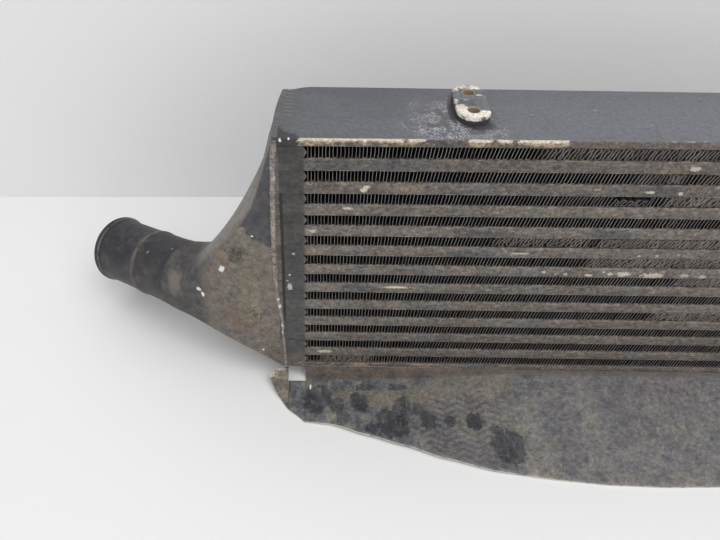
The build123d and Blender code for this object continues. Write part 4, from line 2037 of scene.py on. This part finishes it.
@dataclass
class AirGuide:
    """Sheet that leads the air to the core, bent, bulged and torn at its left ear."""

    sheet: float = 1.5
    drop: float = 14.5
    tab: float = 12.0
    half: float = 278.5
    relief: float = 15.0
    relief_depth: float = 4.0
    reach: float = 103.6
    ear_width: float = 34.5
    curl: float = 8.6
    rows: int = 22
    columns: int = 96
    overlap: float = 0.2
    upright_from: float = 1.6
    crack: float = 0.4
    ear_top: float = -2.6
    edge: Table = (
        (0.0, 1.0), (0.144, 0.990), (0.284, 0.956), (0.446, 0.898), (0.597, 0.793),
        (0.704, 0.688), (0.816, 0.595), (0.925, 0.494), (1.0, 0.471),
    )
    ear: Table = (
        (0.0, 1.0), (0.23, 0.852), (0.42, 0.744), (0.77, 0.357), (1.0, 0.02),
    )
    rear_lift: Table = (
        (-320.0, 0.0), (-280.0, 0.0), (-240.0, 0.3), (-195.0, 2.0), (-151.0, 6.0),
        (-108.0, 10.2), (-40.0, 10.8), (60.0, 10.4), (150.0, 7.0), (220.0, 3.0), (280.0, 0.0),
        (320.0, 0.0),
    )

    @property
    def fold(self) -> float:
        """Y of the front face of the upright flange."""
        return CORE.front - self.sheet

    @property
    def level(self) -> float:
        """Height of the middle of the level sheet."""
        return -self.drop + self.sheet / 2

    def edge_at(self, x: float) -> float:
        """Y of the front edge.

        Args:
            x: Place along the core.

        Returns:
            The edge's Y.
        """
        away = abs(x)
        if away <= self.half:
            return CORE.front - self.reach * follow(self.edge, away / self.half, 0.35)
        share = min(1.0, (away - self.half) / self.ear_width)
        return CORE.front - self.reach * self.edge[-1][1] * follow(self.ear, share)

    def lift(self, x: float, y: float) -> float:
        """How far the sheet bulges above its plane.

        Args:
            x: Place along the core.
            y: Place ahead of it.

        Returns:
            The rise.
        """
        near = self.edge_at(x)
        back = clamp((y - near) / (self.fold - near + 0.01))
        ahead = 1.0 - back
        left = clamp((-60.0 - x) / 120.0) * clamp((285 + x) / 40.0)
        soft = bend_noise(x * 0.018, y * 0.03, 1.0) * 0.9
        soft += bend_noise(x * 0.06, y * 0.07, 7.0) * 0.25
        calm = min(1.0, back * 6.0) * min(1.0, ahead * 4.0 + 0.15)
        bulge = follow(self.rear_lift, x, 0.5) * back ** 1.35 + 2.2 * left * ahead ** 2
        return max(0.0, bulge + (soft + 0.25) * calm)

    def add_panel(self, bm: BMesh) -> None:
        """Add the level sheet ahead of the core, its flange and its tab.

        Args:
            bm: The mesh.
        """
        top = -self.sheet / 2
        rings = []
        for x in spread(-self.half, self.half, self.columns):
            near = self.edge_at(x)
            ring = []
            for share in spread(0.0, 1.0, self.rows):
                y = near + (self.fold + self.overlap - near) * (share * 0.7 + 0.3 * smooth(share))
                ring.append(Vector((x, y, self.level + self.lift(x, y))))
            rear = ring[-1].z
            upright = rear < top - self.upright_from
            for k in (0.35, 0.7, 1.0):
                y = self.fold + self.sheet / 2 + (0.0 if upright else k * self.overlap)
                ring.append(Vector((x, y, rear + (top - rear) * k if upright else top)))
            ring += [Vector((x, CORE.front + self.tab * k, top)) for k in (0.25, 0.6, 1.0)]
            rings.append(ring)
        loft(bm, rings, closed=False)

    def add_flat(
        self, bm: BMesh, side: int, ends: tuple[float, float], rear: float,
        steps: tuple[int, int],
    ) -> None:
        """Add a level stretch beyond the flange.

        Args:
            bm: The mesh.
            side: -1 for left and 1 for right.
            ends: Distances of its inner and outer end from the middle.
            rear: Y of its rear edge.
            steps: Number of faces along it and across it.
        """
        rings = []
        for x in spread(*ends, steps[0]):
            near = min(self.edge_at(x), rear - 0.2)
            rings.append([Vector((side * x, y, self.level)) for y in spread(near, rear, steps[1])])
        loft(bm, rings, closed=False)

    def add_torn(self, bm: BMesh, outer: float) -> None:
        """Add the torn left ear, bent up about its crack.

        Args:
            bm: The mesh.
            outer: Distance of the crack from the middle.
        """
        rings = []
        for away in spread(0.0, self.half + self.ear_width - outer - self.crack, 11):
            rear = CORE.front + 3.4 - 0.27 * away - 0.45 * max(0.0, away - 10.0)
            rear += 0.5 * bend_noise(away * 0.6, 8.0, 1.0)
            near = self.edge_at(outer + away) + 0.5 * bend_noise(away * 0.7, 3.0, 2.0)
            ring = []
            for y in spread(min(near, rear - 0.4), rear, 16):
                bent = max(0.0, (y + 62.0) / 29.0)
                rise = self.curl * bent ** 1.3 + 0.10 * away * min(1.0, bent * 3.0)
                rise += 0.15 * bend_noise(away * 0.3, y * 0.3, 0.0) * min(1.0, bent * 3.0)
                x = -outer - away - (self.crack if away == 0 and y > -54.0 else 0.0)
                ring.append(Vector((x, y, min(self.level + rise, self.ear_top))))
            rings.append(ring)
        loft(bm, rings, closed=False)

    def build(self, material: Material) -> Piece:
        """Build the level sheet, its flange and tab, and the torn ear.

        Args:
            material: Its paint.

        Returns:
            The piece.
        """
        bm = bmesh.new()
        self.add_panel(bm)
        outer, notch = self.half + self.relief, self.fold - self.relief_depth
        self.add_flat(bm, 1, (self.half, outer), notch, (5, 10))
        self.add_flat(bm, 1, (outer, self.half + self.ear_width), CORE.front - 0.9, (6, 8))
        self.add_flat(bm, -1, (self.half, outer), notch, (5, 10))
        self.add_torn(bm, outer)
        piece = keep(
            bm, "air_guide_sheet", material, ["air_guide"], 40, outward=False
        )
        thicken(piece, "sheet", self.sheet - 0.1)
        soft = piece.modifiers.new("arris", "BEVEL")
        soft.width, soft.segments = 0.25 * MM, 1
        soft.limit_method, soft.angle_limit = "ANGLE", radians(60)
        return piece


# ============================================================ room, light and camera
@dataclass(frozen=True)
class Room:
    """Pale table and wall behind the object."""

    floor: float = -14.55
    reach: float = 2600.0
    wall_foot: Point = (-220.0, 237.0, -15.55)
    wall_height: float = 1400.0
    wall_turn: float = 1.0
    table_tint: Point = (235, 235, 235)
    wall_tint: Point = (228, 228, 229)

    def surface(self, name: str, tint: Point, corners: Sequence[Vector]) -> None:
        """Add one flat surface of the room, which faces the object.

        Args:
            name: Its name.
            tint: Its colour.
            corners: Its four corners in millimetres.
        """
        bm = bmesh.new()
        verts = [bm.verts.new(corner * MM) for corner in corners]
        made = bmesh.ops.contextual_create(bm, geom=verts)["faces"]
        bm.normal_update()
        along, across = corners[1] - corners[0], corners[-1] - corners[0]
        if made[0].normal.dot(along.cross(across)) < 0:
            bmesh.ops.reverse_faces(bm, faces=made)
        mesh = bpy.data.meshes.new(name)
        bm.to_mesh(mesh)
        bm.free()
        paint = Shader(f"{name}_paint").close(tint, 0.75, specular=0.25)
        self.open_rear(paint)
        mesh.materials.append(paint)
        plane = bpy.data.objects.new(name, mesh)
        bpy.context.scene.collection.objects.link(plane)

    def open_rear(self, paint: Material) -> None:
        """Let the object be seen through the rear side of a surface.

        Args:
            paint: The surface's paint.
        """
        nodes, links = paint.node_tree.nodes, paint.node_tree.links
        output = next(node for node in nodes if node.type == "OUTPUT_MATERIAL")
        front = output.inputs["Surface"].links[0].from_socket
        facing = nodes.new("ShaderNodeNewGeometry")
        clear = nodes.new("ShaderNodeBsdfTransparent")
        mix = nodes.new("ShaderNodeMixShader")
        links.new(facing.outputs["Backfacing"], mix.inputs["Fac"])
        links.new(front, mix.inputs[1])
        links.new(clear.outputs["BSDF"], mix.inputs[2])
        links.new(mix.outputs["Shader"], output.inputs["Surface"])

    def build(self) -> None:
        """Add the table and the wall."""
        far = self.reach
        corners = ((-far, -far), (far, -far), (far, far), (-far, far))
        self.surface(
            "table", self.table_tint, [Vector((x, y, self.floor)) for x, y in corners]
        )
        turn = radians(self.wall_turn)
        run = Vector((cos(turn), sin(turn), 0.0)) * far
        foot, rise = Vector(self.wall_foot), Vector((0, 0, self.wall_height))
        self.surface(
            "wall", self.wall_tint, [foot - run, foot + run, foot + run + rise, foot - run + rise]
        )


@dataclass(frozen=True)
class Lamp:
    """Square area lamp."""

    name: str
    power: float
    place: Point
    aim: Point
    size: float

    def build(self) -> None:
        """Add the lamp."""
        light = bpy.data.lights.new(self.name, "AREA")
        light.shape, light.size, light.energy = "SQUARE", self.size, self.power
        lamp = bpy.data.objects.new(self.name, light)
        turn = Euler([radians(angle) for angle in self.aim])
        lamp.matrix_world = Matrix.Translation(self.place) @ turn.to_matrix().to_4x4()
        bpy.context.scene.collection.objects.link(lamp)


@dataclass(frozen=True)
class Studio:
    """Soft daylight from above and the camera."""

    world: float = 0.80
    lamps: Sequence[Lamp] = (
        Lamp("window", 15.0, (0.5, -0.8, 2.0), (24.0, 0.0, 12.0), 2.0),
        Lamp("fill", 6.0, (0.9, -1.9, 1.2), (60.0, 0.0, 18.0), 1.8),
        Lamp("backdrop", 1.8, (-0.05, -0.35, 1.0), (80.0, 0.0, 0.0), 0.8),
    )
    eye: Point = (-0.2690, -0.4230, 0.4669)
    turns: Sequence[tuple[float, str]] = ((1.46107, "Z"), (47.7654, "X"), (-0.26029, "Z"))
    lens: float = 34.19
    sensor: float = 36.0
    shift: float = 0.0763
    clip: float = 0.01

    def build(self) -> None:
        """Add the world, the lamps and the camera."""
        scene = bpy.context.scene
        world = bpy.data.worlds.new("daylight")
        world.use_nodes = True
        ground = world.node_tree.nodes["Background"]
        ground.inputs["Color"].default_value = (1.0, 1.0, 1.0, 1.0)
        ground.inputs["Strength"].default_value = self.world
        scene.world = world
        for lamp in self.lamps:
            lamp.build()
        data = bpy.data.cameras.new("camera")
        data.lens, data.sensor_width = self.lens, self.sensor
        data.shift_x, data.clip_start = self.shift, self.clip
        camera = bpy.data.objects.new("camera", data)
        place = Matrix.Translation(self.eye)
        for angle, axis in self.turns:
            place = place @ Matrix.Rotation(radians(angle), 4, axis)
        camera.matrix_world = place
        scene.collection.objects.link(camera)
        scene.camera = camera
        scene.view_settings.view_transform = "Standard"


# ============================================================ the whole
CRUSHES: dict[int, tuple[Crush, ...]] = {
    11: (Crush(-124, 270, lean=1.2, slump=-0.8, ruffle=0.5, push=0.2, fold=0.62),),
    10: (
        Crush(-56, -38, lean=1.2, ruffle=0.4, push=0.2, fold=0.6),
        Crush(-34, -20, lean=-1.4, slump=-2.2, ruffle=0.9, push=1.0, fold=0.95),
        Crush(-12, 270, lean=1.0, slump=-0.8, ruffle=0.4, fold=0.45),
    ),
    9: (
        Crush(-104, -72, lean=0.8, ruffle=0.3, fold=0.3),
        Crush(-65, -40, lean=1.0, slump=-4.6, ruffle=0.5, push=0.9, fold=0.35),
        Crush(-30, 270, lean=1.8, slump=-0.8, ruffle=0.8, push=0.3, fold=0.85),
    ),
    8: (Crush(-24, -14, lean=0.5, ruffle=0.7, push=0.4, fold=0.4),),
    7: (
        Crush(-142, -71, lean=1.8, slump=-1.0, ruffle=1.0, push=0.7, fold=0.7),
        Crush(-66, 270, lean=1.6, slump=-1.4, ruffle=0.7, push=0.3, fold=0.85),
    ),
    6: (Crush(-70, 270, lean=1.8, slump=-1.2, ruffle=0.8, push=0.2, fold=0.8),),
    5: (Crush(3, 270, lean=1.2, slump=-1.0, ruffle=0.7, push=0.2, fold=0.9),),
    3: (Crush(-3, 270, lean=1.5, slump=-1.0, ruffle=0.8, push=0.2, fold=0.8),),
    0: (Crush(-268, -224, lean=1.0, slump=-1.2, ruffle=0.8, push=0.5, fold=1.0),),
}


def build_end(
    side: Side, end: Material, tank: Material, pipe: Material,
    weld: Material,
) -> list[Piece]:
    """Build the pieces at one end of the core.

    Args:
        side: The end.
        end: Metal of the end bars.
        tank: Metal of the tank.
        pipe: Metal of the hose pipe.
        weld: Metal of the weld.

    Returns:
        The pieces.
    """
    pieces = [
        EndBars(side).build(end), Tank(side).build(tank),
        HosePipe(side).build(pipe), WeldBead(side).build(weld),
    ]
    for level, base, rise, seed in (
        ("top", CORE.height, LUG_RISE, 0.0), ("bottom", 0.0, LUG_DROP, 12.0)
    ):
        middle = (side.value * LUG_X, LUG_Y, base + rise)
        finish = LugMetal(f"lug_metal_{level}_{side.word}", seed, middle)
        pieces.append(Lug(side, level, base, rise).build(finish.make()))
    return pieces


def main() -> list[Piece]:
    """Build every piece, the room, the light and the camera.

    Returns:
        The pieces.
    """
    logging.basicConfig(level=logging.INFO, format="%(message)s")
    paint, bar, fin = PlatePaint().make(), BarMetal().make(), FinMetal().make()
    pieces = [
        SidePlate("top_side_plate", CORE.height - CORE.plate, 2.5, CORE.corner_cut).build(paint),
        SidePlate("bottom_side_plate", 0.0).build(paint),
    ]
    pieces += [FinRow(i, CRUSHES.get(i, ())).build(fin) for i in range(CORE.rows)]
    pieces += [Passage(i).build(bar) for i in range(CORE.rows - 1)]
    finishes = (BarMetal("end_metal", 31.0), TankMetal(), PipeMetal(), WeldMetal())
    metals = [finish.make() for finish in finishes]
    for side in Side:
        pieces += build_end(side, *metals)
    pieces.append(AirGuide().build(GuideMetal().make()))
    strip = PlainStrip().make()
    for i in range(CORE.rows - 1):
        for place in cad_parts[f"turbulator_{i + 1:02d}"].material_slots:
            place.material = strip
    Room().build()
    Studio().build()
    for piece in pieces:
        log.info("%s: %d faces", piece.name, len(piece.data.polygons))
    return pieces


if __name__ == "__main__":
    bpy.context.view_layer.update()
    main()
